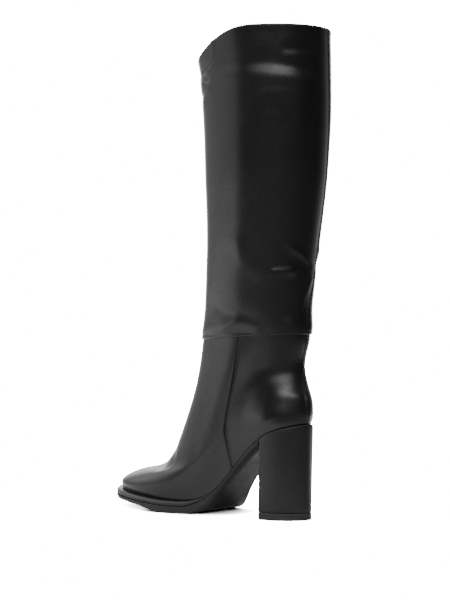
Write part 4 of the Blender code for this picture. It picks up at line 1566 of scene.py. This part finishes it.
def floor_paint(settings):
    """Pale paint: as bright to the eye as the backdrop, with a contact shadow painted in from ambient
    occlusion, and toned by place in the leather's reflections.
    """
    material = bpy.data.materials.new("studio_floor_paint")
    material.use_nodes = True
    tree = material.node_tree
    tree.nodes.clear()
    place = node(tree, "ShaderNodeTexCoord").outputs["Object"]
    reach = node(tree, "ShaderNodeVectorMath", {0: place}, operation="LENGTH").outputs["Value"]
    around = soft_range(tree, reach, FLOOR_EDGE)
    near = mix(tree, around, tone_by_turn(tree, place, CLOSE_FLOOR), tone_by_turn(tree, place, FLOOR))
    far = maths(tree, "MULTIPLY", tone_by_turn(tree, place, ROOM), FAR_FLOOR)
    mirrored = mix(tree, soft_range(tree, reach, FAR_FLOOR_EDGE), near, far)
    along = node(tree, "ShaderNodeSeparateXYZ", {0: place}).outputs["X"]
    behind_ball = soft_range(tree, along, SHADE_BACK_EDGE)
    before_toe = soft_range(tree, along, SHADE_FRONT_EDGE, (SHADE_REACH, SHADE_LEAST))
    width = maths(tree, "MAXIMUM", maths(tree, "MULTIPLY", behind_ball, before_toe), SHADE_LEAST)
    # painted contact shadow: ambient occlusion darkens the floor's colour to the eye near the boot
    shade = node(tree, "ShaderNodeAmbientOcclusion", {"Distance": width}, samples=16).outputs["AO"]
    deep = maths(tree, "POWER", shade, SHADE_DEPTH)
    seen = maths(tree, "MULTIPLY", deep, FLOOR_BOOST * settings.backdrop)
    eye = node(tree, "ShaderNodeLightPath").outputs["Is Camera Ray"]
    paint = node(tree, "ShaderNodeBsdfDiffuse", {"Color": mix(tree, eye, mirrored, seen)})
    node(tree, "ShaderNodeOutputMaterial", {"Surface": paint.outputs[0]})
    return material


def studio_floor(settings):
    """Flat floor under the boot."""
    mesh = bpy.data.meshes.new("studio_floor")
    half = FLOOR_SIZE / 2
    corners = [(-half, -half, 0), (half, -half, 0), (half, half, 0), (-half, half, 0)]
    mesh.from_pydata(corners, [], [(0, 1, 2, 3)])
    mesh.materials.append(floor_paint(settings))
    floor = bpy.data.objects.new("studio_floor", mesh)
    bpy.context.scene.collection.objects.link(floor)


class BOOT_OT_stage(bpy.types.Operator):
    """Set up floor, backdrop, light and camera"""
    bl_idname = "boot.stage"
    bl_label = "Stage"

    def execute(self, context):
        settings = context.scene.boot_studio
        backdrop_world(settings)
        studio_floor(settings)
        data = bpy.data.cameras.new("camera")
        data.lens = CAMERA_LENS
        data.sensor_width = CAMERA_FILM
        data.shift_y = CAMERA_SHIFT
        camera = bpy.data.objects.new("camera", data)
        context.scene.collection.objects.link(camera)
        backwards = level(CAMERA_AZIMUTH)
        camera.location = Vector(in_frame(CAMERA_AIM)) + backwards * CAMERA_DISTANCE
        camera.rotation_euler = backwards.to_track_quat("Z", "Y").to_euler()
        context.scene.camera = camera
        return {"FINISHED"}


GROUPS = {
    "boot_leather": BootLeather,
    "boot_colours": BootColours,
    "boot_stitching": BootStitching,
    "boot_studio": BootStudio,
}
OPERATORS = (BOOT_OT_upper, BOOT_OT_shaft, BOOT_OT_lining, BOOT_OT_insole, BOOT_OT_sole, BOOT_OT_heel,
             BOOT_OT_stitches, BOOT_OT_stage)


class BOOT_PT_panel(bpy.types.Panel):
    """Everything that the boot is made of"""
    bl_idname = "BOOT_PT_panel"
    bl_label = "Boot"
    bl_space_type = "VIEW_3D"
    bl_region_type = "UI"
    bl_category = "Boot"

    def draw(self, context):
        for name, group in GROUPS.items():
            box = self.layout.box()
            for setting in group.__annotations__:
                box.prop(getattr(context.scene, name), setting)
        for operator in OPERATORS:
            self.layout.operator(operator.bl_idname)


CLASSES = (*GROUPS.values(), *OPERATORS, BOOT_PT_panel)


def register():
    """Add the settings, the operators and the panel."""
    for item in CLASSES:
        bpy.utils.register_class(item)
    for name, group in GROUPS.items():
        setattr(bpy.types.Scene, name, PointerProperty(type=group))


def unregister():
    """Take them away again."""
    for name in GROUPS:
        delattr(bpy.types.Scene, name)
    for item in reversed(CLASSES):
        bpy.utils.unregister_class(item)


def main():
    """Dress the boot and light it."""
    register()
    for operator in OPERATORS:
        group, name = operator.bl_idname.split(".")
        getattr(getattr(bpy.ops, group), name)()


if __name__ == "__main__":
    main()
